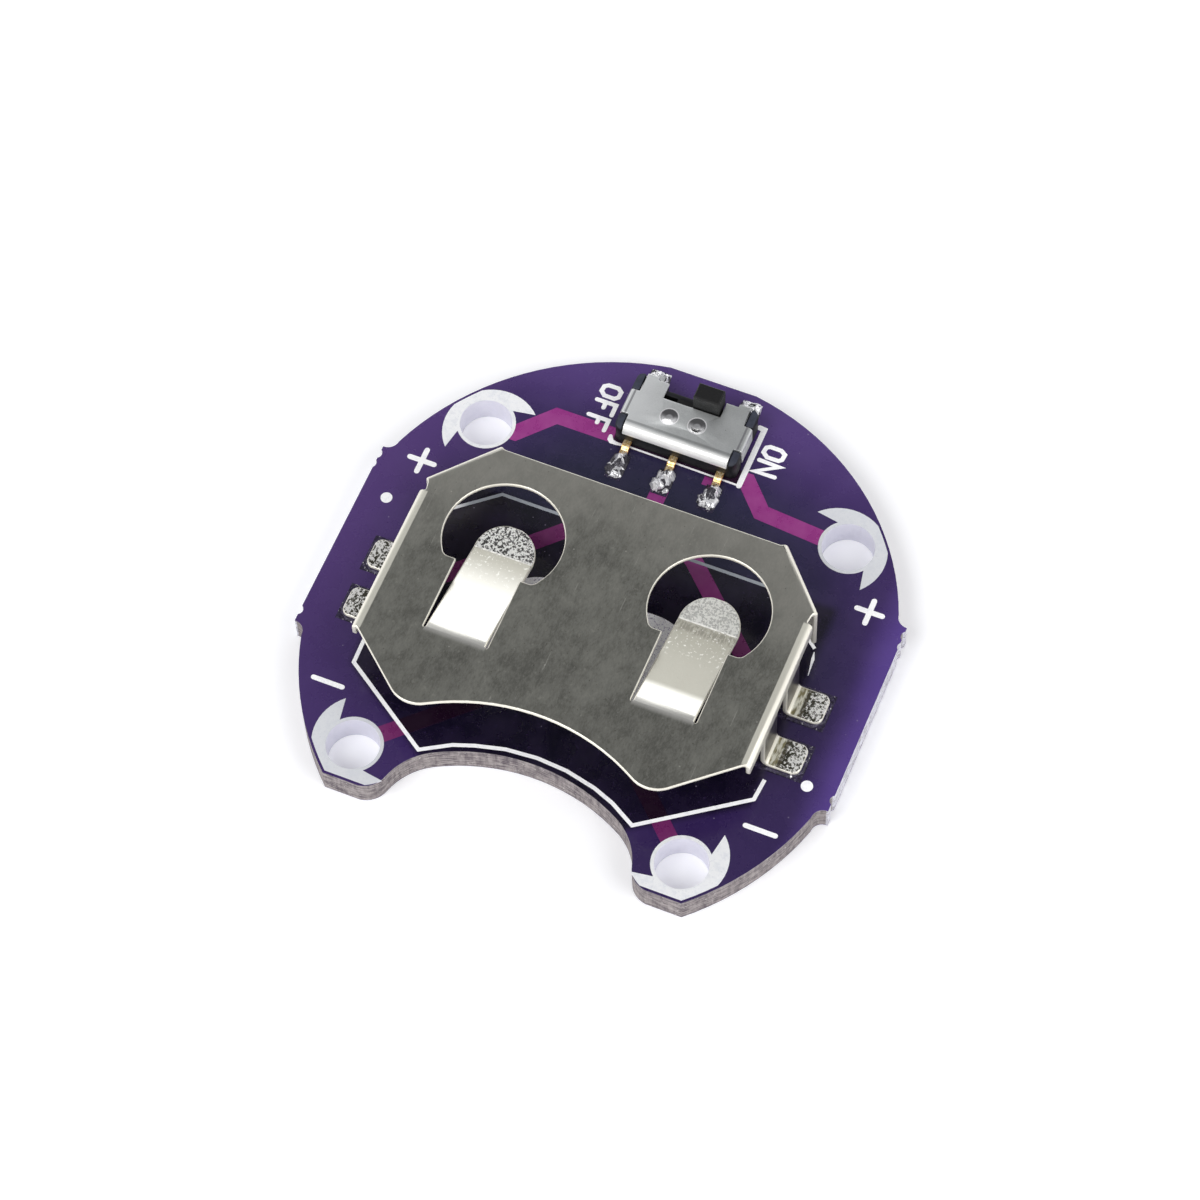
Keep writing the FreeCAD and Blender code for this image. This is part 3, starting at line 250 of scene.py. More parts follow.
def roll_front(points):
    """The switch's rolled front edge: in front of `start` the height falls with the square of the
    distance, by `drop` at the far end of `reach`, in full above the height `full` and fading to
    nothing at `foot`."""
    forward = np.clip((ROLL["start"] - points[:, 1]) / ROLL["reach"], 0, 1)
    height = np.clip((points[:, 2] - ROLL["foot"]) / (ROLL["full"] - ROLL["foot"]), 0, 1)
    points[:, 2] -= ROLL["drop"] * forward ** 2 * height
    return points


def rounded_copy(name, node, width, material, angle=35.0, crisp=50.0, flats=True, rolled=False):
    """A CAD node's surface with its edges rounded: doubles are merged, flat areas are made single
    faces, every edge sharper than `angle` degrees is rounded to `width` millimetres, edges that
    still turn by more than `crisp` degrees stay sharp, and normals are weighted by area, so that
    flat faces stay flat. A rolled copy is cut into bands in front and bent down there."""
    mesh = NODES[node].data.copy()
    mesh.name = name
    work = bmesh.new()
    work.from_mesh(mesh)
    bmesh.ops.remove_doubles(work, verts=work.verts[:], dist=MERGE * MM)
    if flats:
        bmesh.ops.dissolve_limit(work, angle_limit=math.radians(ONE_PLANE), verts=work.verts[:],
                                 edges=work.edges[:])
    sharp = [e for e in work.edges
             if len(e.link_faces) == 2 and e.calc_face_angle(0.0) > math.radians(angle)]
    bmesh.ops.bevel(work, geom=sharp, offset=width * MM, offset_type="OFFSET", segments=2, profile=0.5,
                    affect="EDGES", clamp_overlap=False, miter_outer="ARC", spread=0.2 * width * MM)
    bmesh.ops.remove_doubles(work, verts=work.verts[:], dist=MERGE * MM)
    if rolled:
        for y in np.linspace(ROLL["start"] - ROLL["reach"] + 0.04, ROLL["start"], ROLL["bands"]):
            bmesh.ops.bisect_plane(work, geom=work.verts[:] + work.edges[:] + work.faces[:], dist=0.0005 * MM,
                                   plane_co=(0, y * MM, 0), plane_no=(0, 1, 0))
    for edge in work.edges:
        edge.smooth = len(edge.link_faces) != 2 or edge.calc_face_angle(0.0) < math.radians(crisp)
    work.to_mesh(mesh)
    work.free()
    if rolled:
        points = np.empty(len(mesh.vertices) * 3)
        mesh.vertices.foreach_get("co", points)
        mesh.vertices.foreach_set("co", (roll_front(points.reshape(-1, 3) / MM) * MM).reshape(-1))
    piece = set_down(name, mesh, material, (node,))
    weighted = piece.modifiers.new("area_weighted_normals", "WEIGHTED_NORMAL")
    weighted.mode = "FACE_AREA"
    weighted.weight = 100
    weighted.keep_sharp = True


def unit(vectors):
    """Each row at length 1."""
    return vectors / np.linalg.norm(vectors, axis=-1, keepdims=True)


def around_rings(rings, sides):
    """Quads between neighbouring rings of a grid whose points run `sides` to a ring."""
    start = np.arange(rings - 1)[:, None] * sides
    i = np.arange(sides)[None, :]
    j = (i + 1) % sides
    return np.stack([start + i, start + sides + i, start + sides + j, start + j], axis=-1).reshape(-1, 4)


def prism(outline, tops, low, high):
    """Raises a flat clockwise outline from low to high: `tops` are its upper faces, the walls
    follow the outline, and the base is the top turned over."""
    count = len(outline)
    verts = np.vstack([np.column_stack([outline, np.full(count, level)]) for level in (high, low)])
    index = np.arange(count)
    following = (index + 1) % count
    walls = np.column_stack([index, following, following + count, index + count])
    return verts, np.vstack([tops, walls, tops[:, [1, 0, 3, 2]] + count])


CAP_POINTS = 5    # points between the two sides of a strip's round end
TIGHTEST = 0.35   # least cosine of half a bend, so that a sharp corner of a strip stays short


def strip(points, width, low, high, closed=False, rounded=False):
    """A flat strip: each point of the path is offset half the width to both sides along the
    bisector of its two runs, lengthened so that the runs keep their width. An open strip's ends
    are square, or half circles of its width. The outline is raised from low to high."""
    path = np.asarray(points, float)
    width = np.broadcast_to(width, len(path))
    runs = unit(np.roll(path, -1, axis=0) - path)
    if closed:
        before, after = np.roll(runs, 1, axis=0), runs
    else:
        before = np.vstack([runs[:1], runs[:-1]])
        after = np.vstack([runs[:-1], runs[-2:-1]])
    along = unit(before + after)
    across = np.column_stack([-along[:, 1], along[:, 0]])
    square = np.column_stack([-before[:, 1], before[:, 0]])
    reach = (width / 2) / np.maximum((across * square).sum(axis=1), TIGHTEST)
    left = path + across * reach[:, None]
    right = path - across * reach[:, None]
    count = len(path)
    index = np.arange(count)
    if closed:
        rows = [np.column_stack([side, np.full(count, level)])
                for side, level in ((left, high), (right, high), (right, low), (left, low))]
        return np.vstack(rows), around_rings(5, count) % (4 * count)
    turn = np.linspace(0, np.pi, CAP_POINTS + 2)[1:-1, None] if rounded else np.zeros((0, 1))
    caps = [path[k] + sign * width[k] / 2 * (np.cos(turn) * across[k] + np.sin(turn) * along[k])
            for k, sign in ((-1, 1.0), (0, -1.0))]
    extra = len(turn)
    outline = np.vstack([left, caps[0], right[::-1], caps[1]])
    opposite = 2 * count + extra - 1 - index
    tops = [np.column_stack([index[:-1], opposite[:-1], opposite[1:], index[1:]])]
    if extra:
        for first, second, far in ((index[-1], opposite[-1], count + extra - 1),
                                   (opposite[0], index[0], 2 * count + 2 * extra - 1)):
            ring = np.concatenate([[second], far - np.arange(extra)])
            tops.append(np.column_stack([np.full(extra, first), ring[:-1], ring[1:], ring[1:]]))
    return prism(outline, np.vstack(tops), low, high)


def disc(x, y, radius, low, high, sides=40):
    """A round spot: a clockwise ring of points, its top a fan from the first of them."""
    turn = -np.linspace(0, 2 * np.pi, sides, endpoint=False)
    fan = np.arange(1, sides - 1)
    tops = np.column_stack([np.zeros(sides - 2, int), fan + 1, fan, fan])
    return prism(np.column_stack([x + radius * np.cos(turn), y + radius * np.sin(turn)]), tops, low, high)


def ribbon(corners, bends, x, width, thick, chamfer=0.025, steps=6):
    """A flat strip of metal: an eight-sided section, `width` by `thick` with chamfered corners, is
    carried along a path in the plane x = constant. Each inner corner of the path is replaced by a
    parabola that starts and ends `bends` before and after it. Both ends are closed."""
    corners = np.asarray(corners, float)
    share = np.linspace(0, 1, steps)[:, None]
    runs = [corners[:1]]
    for before, at, after, bend in zip(corners[:-2], corners[1:-1], corners[2:], bends):
        first, last = at + unit(before - at) * bend, at + unit(after - at) * bend
        runs.append((1 - share) ** 2 * first + 2 * share * (1 - share) * at + share ** 2 * last)
    path = np.vstack(runs + [corners[-1:]])
    along = unit(np.gradient(path, axis=0))
    up = np.column_stack([along[:, 1], -along[:, 0]])
    up = up * np.sign(up[:1, 1:2])
    w, t, c = width / 2, thick / 2, chamfer
    section = np.array([(-w, -t + c), (-w, t - c), (-w + c, t), (w - c, t),
                        (w, t - c), (w, -t + c), (w - c, -t), (-w + c, -t)])
    sides, count = len(section), len(path)
    sideways = np.broadcast_to(x + section[None, :, :1], (count, sides, 1))
    offset = up[:, None, :] * section[None, :, 1:2]
    verts = np.concatenate([sideways, path[:, None, :] + offset], axis=2)
    fan = np.arange(1, sides - 1)
    far = (count - 1) * sides
    first = np.column_stack([np.zeros(sides - 2, int), fan, fan + 1, fan + 1])
    last = np.column_stack([np.full(sides - 2, far), far + fan + 1, far + fan, far + fan])
    return verts.reshape(-1, 3), np.vstack([around_rings(count, sides), first, last])


AXIS_MIXERS = (73856093, 19349663, 83492791)   # odd numbers that scatter the lattice's values
SEED_MIXER = 2654435761
LAST_MIXER = 1274126177
LATTICE_SHIFT = 17.3
OCTAVE_WEIGHT = 0.55


def grain(points, size, seed, octaves):
    """Smooth random value from -1 to 1 at each point: a lattice of fixed random numbers `size`
    apart, blended between its eight corners with a smooth step, at halving sizes and weights that
    fall by OCTAVE_WEIGHT."""
    total = np.zeros(len(points))
    weight, full = 1.0, 0.0
    for octave in range(octaves):
        scaled = points / size * (2 ** octave) + LATTICE_SHIFT * (seed + octave + 1)
        cell = np.floor(scaled).astype(np.int64)
        part = scaled - cell
        part = part * part * (3 - 2 * part)
        value = np.zeros(len(points))
        for corner in range(8):
            step = np.array([corner & 1, (corner >> 1) & 1, (corner >> 2) & 1])
            keys = (cell + step) * AXIS_MIXERS
            mixed = keys[:, 0] ^ keys[:, 1] ^ keys[:, 2] ^ (seed * SEED_MIXER)
            mixed = (mixed ^ (mixed >> 13)) * LAST_MIXER
            chance = ((mixed ^ (mixed >> 16)) & 0xFFFF) / 32767.5 - 1.0
            value += chance * np.prod(np.where(step == 1, part, 1 - part), axis=1)
        total += value * weight
        full += weight
        weight *= OCTAVE_WEIGHT
    return total / full


LUMP_RINGS, LUMP_SIDES = 30, 96


def lump(middle, reach, rise, low, seed, rough=0.5, edge=0.18, lean=(0.0, 0.0), turned=0.0, power=2.2,
         corners=3.0, crease=0.3):
    """A solder mound: polar grid whose outline is a superellipse (exponent `corners`) with a stirred
    radius. The height falls from the middle as 1 - r^power and is multiplied by sharp creases,
    1 - |random|, at two sizes; the crown leans sideways. The underside is flat at `low`. The fourth
    column of the points is the depth in the creases, 0 on a ridge and 1 at the bottom."""
    turn = np.linspace(0, 2 * np.pi, LUMP_SIDES, endpoint=False)
    radius = np.linspace(0, 1, LUMP_RINGS + 1)[1:]
    r, t = (grid.reshape(-1) for grid in np.meshgrid(radius, turn, indexing="ij"))
    around = np.column_stack([np.cos(t), np.sin(t), np.full(len(t), seed * 3.7)])
    rim = (np.abs(np.cos(t)) ** corners + np.abs(np.sin(t)) ** corners) ** (-1 / corners)
    wobble = rim * (1 + edge * grain(around, 0.45, seed, 3))
    u = reach[0] * r * wobble * np.cos(t)
    v = reach[1] * r * wobble * np.sin(t)
    x = middle[0] + u * math.cos(turned) - v * math.sin(turned)
    y = middle[1] + u * math.sin(turned) + v * math.cos(turned)
    where = np.column_stack([x, y, np.full(len(x), seed * 0.37)])
    ridged = 1 - np.abs(grain(where, crease, seed + 5, 2)) * 2.4
    fine = 1 - np.abs(grain(where, crease * 0.42, seed + 9, 2)) * 2.4
    fold = np.clip(0.68 * ridged + 0.32 * fine, 0, 1)
    height = rise * (1 - r ** power) * (1 - rough + rough * 1.5 * fold)
    height = np.where(r > 0.999, 0.0, np.maximum(height, 0.006))
    dome = np.column_stack([x + lean[0] * height, y + lean[1] * height, low + height, 1 - fold])
    crown = [middle[0] + lean[0] * height[0], middle[1] + lean[1] * height[0], low + height[0], 1 - fold[0]]
    verts = np.vstack([dome, [crown, [middle[0], middle[1], low, 1.0]]])
    i = np.arange(LUMP_SIDES)
    j = (i + 1) % LUMP_SIDES
    last = (LUMP_RINGS - 1) * LUMP_SIDES
    cap = np.column_stack([np.full(LUMP_SIDES, len(dome)), i, j, j])
    base = np.column_stack([np.full(LUMP_SIDES, len(dome) + 1), last + j, last + i, last + i])
    return verts, np.vstack([around_rings(LUMP_RINGS, LUMP_SIDES), cap, base])


# ---- sizes and colours

COLOUR = {"subtype": "COLOR", "size": 4, "min": 0.0, "max": 1.0}
LENGTH = {"subtype": "DISTANCE", "unit": "LENGTH"}


class LacquerLook(PropertyGroup):
    """Colours of the lacquered board and width of its print."""
    lacquer: FloatVectorProperty(
        name="Lacquer", description="Violet lacquer away from the clip", default=tint(54, 35, 88), **COLOUR)
    # painted shade: the lacquer colour round the clip, darkened for the clip's shadow and reflection
    lacquer_shaded: FloatVectorProperty(
        name="Lacquer, middle", description="Lacquer round the clip", default=tint(30, 32, 57), **COLOUR)
    covered_copper: FloatVectorProperty(
        name="Covered copper", description="Copper seen through the lacquer",
        default=tint(158, 52, 138), **COLOUR)
    print_width: FloatProperty(
        name="Print line", description="Width of the printed outlines",
        default=0.2 * MM, min=0.05 * MM, max=0.6 * MM, **LENGTH)


class MetalLook(PropertyGroup):
    """Colours of the metals."""
    nickel: FloatVectorProperty(
        name="Nickel", description="Plating of the spring clip", default=tint(164, 164, 155), **COLOUR)
    tin: FloatVectorProperty(
        name="Tinning", description="Tinned copper of the sew tabs and pads",
        default=tint(250, 251, 252), **COLOUR)
    gold: FloatVectorProperty(
        name="Lead plating", description="Plating on the switch leads", default=tint(226, 190, 128), **COLOUR)


class SolderLook(PropertyGroup):
    """Size of the solder joints."""
    lead_rise: FloatProperty(
        name="Lead joint height", description="Height of the solder at the switch leads",
        default=0.34 * MM, min=0.1 * MM, max=0.8 * MM, **LENGTH)


class StudioLook(PropertyGroup):
    """Floor and lamps."""
    floor: FloatVectorProperty(
        name="Floor", description="Colour of the floor", default=(0.93, 0.935, 0.95, 1.0), **COLOUR)
    sky: FloatProperty(
        name="Overhead light", description="Brightness of the room above", subtype="FACTOR",
        default=0.24, min=0, max=2)


GROUPS = {"holder_lacquer": LacquerLook, "holder_metal": MetalLook, "holder_solder": SolderLook,
          "holder_studio": StudioLook}


# ---- finishes

# places on the part that the finishes follow, in millimetres
SWITCH_X = -0.14       # middle of the switch
DIMPLES = {"x": -0.25, "aside": 0.75, "y": 13.91}   # the cover's two pressed dimples
FINGER_X = 5.42        # middle line of a contact finger, to both sides
PRINT_SLOPE = 0.662    # slope of the printed lines in front of the clip


def lacquer_finish(look, upper=True):
    """Glossy violet lacquer, darkened to dark blue round the clip by painted shade and reflection:
    a painted sheen makes it paler towards the left edge and the rear, painted shade darkens the right front
    with a painted violet sheen along the very edge, painted shade makes it nearly black inside the clip's
    printed outline; with the weave of the board just showing, fine dust and a soft ripple."""
    f = Finish("board_lacquer" if upper else "board_lacquer_under")
    wander = (f.noise(3.5, 2) - 0.5) * 2.4
    far = (f.x * f.x * 0.8 + (f.y - 3.5) * (f.y - 3.5)) ** 0.5
    # painted shade and reflection: darker lacquer round the clip, the full colour farther out
    f.body = f.mix(f.step(far + wander, 6.5, 13.5), look.lacquer_shaded, look.lacquer)
    # painted sheen: paler lacquer towards the left edge, more of it to the rear
    f.lay(f.step(wander - f.x, 7.5, 13.8) * f.step(f.y, -7, 3, 0.15, 0.5), 94, 66, 130)
    # painted sheen: paler lacquer along the rear
    f.lay(f.step(f.y + wander, 12.5, 16.5) * 0.6, 90, 66, 130)
    # painted shade: darker lacquer towards the right front
    f.lay(f.step(f.x * 0.8 - f.y * 0.6 + wander, 5, 11) * 0.55, 36, 24, 64)
    # painted sheen: violet glow along the right edge
    f.lay(f.step(f.x + wander * 0.3, 12.3, 14.2) * 0.55, 100, 74, 160)
    if upper:
        # painted shade: nearly black inside the clip's printed outline, under the clip
        inside = f.step(abs(f.x), 10.9, 10.2) * f.step(f.y, 7.7, 7.1)
        inside = inside * f.step(f.y - abs(f.x) * PRINT_SLOPE, -11.5, -10.9)
        f.lay(inside * 0.92, 8, 6, 20)
    cloud = f.noise(1.6, 4, 0.6)
    f.lay((cloud - 0.35) * 0.22, 88, 62, 124)
    weft = f.noise(0.35, 2, on=f.spread((1, 3.2, 1))) - 0.5
    weave = weft + (f.noise(0.35, 2, on=f.spread((3.2, 1, 1)), shift=3) - 0.5)
    f.lay(f.step(weave, 0.1, 0.45) * 0.12, 104, 80, 140)
    f.lay(f.step(f.cells(0.85), 0.055, 0.03) * 0.3, 190, 180, 205)
    ripple = f.relief(cloud * 0.6 + weave * 0.4, 0.012, 0.6)
    return f.surface(Roughness=f.varied(cloud, 0.22, 0.34), Normal=ripple, Coat_Weight=0.2,
                     Coat_Roughness=0.12, IOR=1.45)


def covered_copper_finish(look):
    """Magenta: lacquer over copper, darker on the sides of the track; painted shade darkens it under the
    clip and makes it nearly black under the switch and between the clip and the printed lines in front of it."""
    f = Finish("covered_copper")
    cloud = f.noise(0.9, 4, 0.6)
    f.body = f.mix(f.step(cloud, 0.3, 0.75), look.covered_copper, tint(168, 72, 148))
    # painted shade: darker track under the clip
    f.lay(f.step(abs(f.x), 10.6, 9.6) * f.step(f.y, 7.6, 6.9) * 0.6, 84, 30, 72)
    # painted shade: nearly black where the track runs under the switch's front
    f.lay(f.step(abs(f.x), 3.52, 3.42) * f.step(f.y, 12.04, 12.16) * 0.95, 20, 14, 30)
    # painted shade: nearly black between the clip's front edge and the printed lines in front of it
    front = f.step(f.y - abs(f.x) * PRINT_SLOPE, -11.15, -10.85) * f.step(f.y, -2, -3.4)
    f.lay(front * 0.96, 20, 10, 26)
    f.lay((1 - f.step(f.facing(), 0.4, 0.9)) * 0.8, 96, 40, 100)
    return f.surface(Metallic=0.3, Roughness=f.varied(cloud, 0.24, 0.36), Normal=f.relief(cloud, 0.008, 0.5),
                     Coat_Weight=0.2, Coat_Roughness=0.12)


def laminate_finish():
    """Sawn glass-cloth board: grey layers along the edge with pale specks, and pale torn fibres on
    the break-off flats."""
    f = Finish("sawn_laminate")
    layers = f.noise(0.09, 3, 0.6, on=f.spread((0.12, 0.12, 1)))
    marks = f.noise(0.22, 3, 0.65, on=f.spread((1, 1, 0.15)), shift=2)
    tone = f.step(layers * 0.65 + marks * 0.35, 0.36, 0.64)
    f.body = f.mix(tone, tint(84, 74, 82), tint(168, 160, 158))
    f.lay(f.step(f.noise(0.14, 3, 0.7, shift=5), 0.6, 0.7) * 0.7, 226, 222, 216)
    flat = f.step(abs(f.x), 13.95, 14.02)
    fibre = f.noise(0.2, 4, 0.7, on=f.spread((1, 0.5, 2.2)), shift=8)
    f.lay(flat * f.step(fibre, 0.32, 0.6), 226, 226, 236)
    return f.surface(Roughness=0.78, Normal=f.relief(layers * 0.5 + marks * 0.3 + fibre * flat, 0.05, 0.8))


def print_finish():
    """White print: slightly uneven ink, a little thinner at random spots, and grey in the shade of
    the clip's rear edge."""
    f = Finish("white_print")
    ink = f.noise(0.25, 4, 0.65)
    f.body = f.mix(f.step(ink, 0.3, 0.55), tint(238, 237, 244), tint(255, 255, 255))
    f.lay(f.step(abs(f.x), 9.4, 8.6) * f.step(f.y, 4.8, 5.2) * f.step(f.y, 7.9, 7.5) * 0.8, 128, 138, 150)
    return f.surface(Roughness=f.varied(ink, 0.6, 0.42), Normal=f.relief(ink, 0.004, 0.5))


def tin_finish(look):
    """Bright tinning: soft mottling and fine grey pits; painted shade greys the right rear and left front
    tabs; pale lilac inside the drilled holes, white, freckled and rougher on the bare pad under the clip."""
    f = Finish("tinned_copper")
    mottle = f.noise(0.34, 5, 0.65)
    fine = f.noise(0.1, 3, 0.7, shift=4)
    f.body = f.mix(f.step(mottle, 0.34, 0.58), tint(236, 238, 242), look.tin)
    f.lay(f.step(fine, 0.57, 0.7) * 0.4, 178, 184, 192)
    # painted shade: greyer tabs at the right rear and left front
    f.lay(f.step(f.x * f.y, -20, 20, 0, 0.55), 200, 203, 209)
    side = 1 - f.step(abs(f.facing()), 0.3, 0.8)
    f.lay(side * 0.75, 226, 224, 238)
    bay = f.step(abs(f.x), 6.6, 6.2) * f.step(abs(f.y), 5.4, 5)
    freckled = f.mix(f.step(fine, 0.52, 0.64), tint(255, 254, 255), tint(176, 168, 192))
    f.body = f.mix(bay, f.body, freckled)
    rough = f.varied(mottle, 0.46, 0.32) + bay * 0.12
    return f.surface(Metallic=f.step(side.larger(bay), 0.2, 0.8, 0.2, 0.05), Roughness=rough,
                     Normal=f.relief(mottle * 0.7 + fine * 0.3, 0.022, 0.7))


def dress_fingers(f):
    """Contact fingers: a painted highlight of their bend, bright at the root and greyer towards the fold,
    a band of painted shade streaked before the right finger's fold, and coined tips, bright and freckled,
    with a painted highlight along the tip's edge. Returns the masks of finger, tip and freckles."""
    across = abs(abs(f.x) - FINGER_X)
    finger = f.step(across, 1.64, 1.58) * f.step(f.y, -2.98, -2.62) * f.step(f.y, 5.2, 5)
    right = f.step(f.x, -1, 1)
    # painted highlight: bright at the root bend, greyer towards the fold; the right finger greyer past its
    # root
    painted_finger_sheen = f.mix(f.step(f.y, 0, 3.1), tint(255, 254, 246), tint(186, 184, 172))
    painted_finger_sheen = f.mix(right * f.step(f.y, -1.55, -1.05, 0, 0.85), painted_finger_sheen, tint(160, 158, 146))
    sparkle = f.step(f.noise(0.16, 2, 0.7, shift=31), 0.58, 0.66) * f.step(f.y, 0.2, 1.6)
    painted_finger_sheen = f.mix(sparkle * 0.6, painted_finger_sheen, tint(255, 255, 250))
    streak = f.step(f.noise(0.14, 3, 0.7, on=f.spread((1, 0.12, 1)), shift=15), 0.42, 0.58)
    # painted shade: a dark streaked band before the right finger's fold
    before = f.step(f.y, 2.2, 2.6) * f.step(f.y, 3.02, 2.9) * right
    painted_finger_sheen = f.mix(before * streak * 0.75, painted_finger_sheen, tint(124, 121, 112))
    f.body = f.mix(finger * 0.92, f.body, painted_finger_sheen)
    tip = f.step(f.y, 3.04, 3.12) * finger
    freckle = f.step(f.noise(0.12, 2, 0.7, shift=12), 0.48, 0.54)
    f.body = f.mix(tip, f.body, f.mix(right, tint(250, 250, 246), tint(240, 240, 234)))
    f.lay(tip * freckle * f.step(f.x, -1, 1, 0.95, 0.4), 48, 46, 46)
    # painted highlight: a bright line along the tip's edge
    f.lay(f.step(abs(f.y - 3.09), 0.06, 0.03) * finger, 255, 254, 248)
    return finger, tip, freckle


def dress_legs(f):
    """Legs and feet: dark feet full of bright dots, a streaked painted highlight on the feet next to the
    leg's bend, a dark line at the fold, legs greyed by painted shade, and a painted highlight band on the
    plate's side bend. Returns the masks of foot, dots and band."""
    foot = f.step(f.z, 2.02, 1.9) * f.step(abs(f.x), 10.3, 10.6)
    dots = f.step(f.noise(0.12, 2, 0.7, shift=18) + (abs(f.x) - 11.5) * 0.1, 0.48, 0.54)
    f.body = f.mix(foot * 0.97, f.body, f.mix(dots, tint(62, 60, 48), tint(255, 254, 250)))
    # painted highlight: streaked bright cream on the foot next to the leg's bend
    painted_bend_highlight = foot * f.step(abs(f.x), 10.98, 10.86)
    streaks = f.noise(0.16, 2, 0.6, on=f.spread((1, 0.3, 1)), shift=25)
    streaked = f.mix(f.step(streaks, 0.4, 0.62), tint(150, 142, 104), tint(255, 253, 236))
    f.body = f.mix(painted_bend_highlight, f.body, streaked)
    f.lay(foot * f.step(abs(abs(f.x) - 11.02), 0.1, 0.06) * 0.8, 92, 86, 70)
    # painted shade: the legs greyed
    leg = f.step(f.z, 1.95, 2.15) * f.step(f.z, 4.75, 4.55) * f.step(abs(f.x), 10, 10.2)
    f.lay(leg * f.step(streaks, 0.25, 0.75, 0.85, 0.6), 112, 108, 114)
    # painted highlight: a bright band on the plate's side bend
    band = f.step(abs(f.x), 9.87, 9.93) * f.step(abs(f.y - 0.2), 4.16, 4.06) * f.step(f.z, 4, 4.4)
    f.lay(band * 0.8, 232, 230, 216)
    return foot, dots, band


def nickel_finish(look):
    """Rolled nickel-plated spring sheet: fine grain along the strip, pale and dark mottling, a painted
    sheen paler towards the rear, small pits, hairline scratches, bright specks and a painted cream
    highlight on the sheared edges; then the fingers and the legs."""
    f = Finish("nickel_sheet")
    fine = f.noise(0.09, 4, 0.8, on=f.spread((1, 0.45, 1), 0.1))
    cloud = f.noise(2.6, 3, 0.5, shift=1)
    f.body = f.mix(f.step(fine * 0.65 + cloud * 0.35, 0.36, 0.64), tint(132, 132, 125), look.nickel)
    f.lay(f.step(cloud - f.x * 0.012, 0.4, 0.66) * 0.14, 190, 190, 180)
    mottle = f.noise(0.55, 4, 0.7, on=f.spread((1, 0.6, 1), 0.4), shift=27)
    f.lay(f.step(mottle, 0.44, 0.64) * 0.22, 198, 197, 187)
    f.lay(f.step(mottle, 0.5, 0.34) * 0.22, 96, 95, 88)
    f.lay(f.step(f.noise(0.24, 2, 0.6, shift=21), 0.62, 0.72) * 0.3, 206, 205, 194)
    # painted sheen: paler towards the rear
    f.lay(f.step(f.y + abs(f.x) * 0.35 + (cloud - 0.5) * 4, 4, 9.5) * 0.55, 204, 202, 192)
    f.lay(f.step(f.cells(0.42), 0.1, 0.05) * 0.5, 96, 92, 84)
    lines = f.noise(0.05, 2, 0.5, on=f.spread((1, 0.02, 1), 0.5), shift=6)
    scratch = f.step(lines, 0.69, 0.75)
    f.lay(scratch * 0.35, 236, 234, 226)
    f.lay(f.step(f.cells(0.9), 0.055, 0.03) * 0.5, 240, 238, 228)
    finger, tip, freckle = dress_fingers(f)
    foot, dots, band = dress_legs(f)
    wall = f.step(abs(f.facing("X")), 0.93, 0.99) * f.step(abs(f.x), 10.05, 10.2)
    # painted highlight: cream on every sheared edge and bend that is not level, except the leg walls
    cut = (1 - f.step(abs(f.facing()), 0.84, 0.97)) * (1 - wall)
    f.lay(cut * 0.85, 252, 248, 234)
    height = fine * 0.5 + scratch * 0.5 + tip * freckle * 1.5 + foot * dots * 1.2
    bright = (cut * 0.6).larger(tip * 0.55).larger(foot * 0.45).larger(band * 0.45)
    return f.surface(Metallic=1 - bright, Roughness=0.34 + tip * 0.1 - finger * 0.06,
                     Normal=f.relief(height, 0.012, 0.7))


def solder_finish():
    """Bright crinkled solder: mirror-like ridges, dark flux in the creases."""
    f = Finish("bright_solder")
    crinkle = f.noise(0.3, 3, 0.6)
    depth = f.add("Attribute", out="Fac", attribute_name="hollow")
    f.body = f.mix(f.step(crinkle, 0.35, 0.6), tint(226, 226, 230), tint(255, 255, 255))
    flux = f.step(depth + (crinkle - 0.5) * 0.9, 0.5, 0.58)
    f.lay(flux * 0.95, 26, 20, 38)
    return f.surface(Metallic=0.58 - flux * 0.3, Roughness=f.varied(crinkle, 0.12, 0.22),
                     Normal=f.relief(crinkle, 0.05, 0.5))


def fillet_finish():
    """Fillet of solder and flux round the clip's feet and on the pads under the joints, painted dark as a
    painted reflection of the dark board, with scattered bright bits."""
    f = Finish("flux_fillet")
    crinkle = f.noise(0.16, 4, 0.7)
    bits = f.step(f.noise(0.2, 3, 0.7, shift=7), 0.6, 0.66)
    # painted reflection: dark colour standing in for a mirror that reflects the dark board
    f.body = f.mix(f.step(crinkle, 0.35, 0.65), tint(26, 20, 40), tint(64, 56, 84))
    f.lay(bits, 250, 248, 250)
    return f.surface(Metallic=bits * 0.8 + 0.1, Roughness=f.varied(crinkle, 0.12, 0.3),
                     Normal=f.relief(crinkle, 0.03, 0.6))


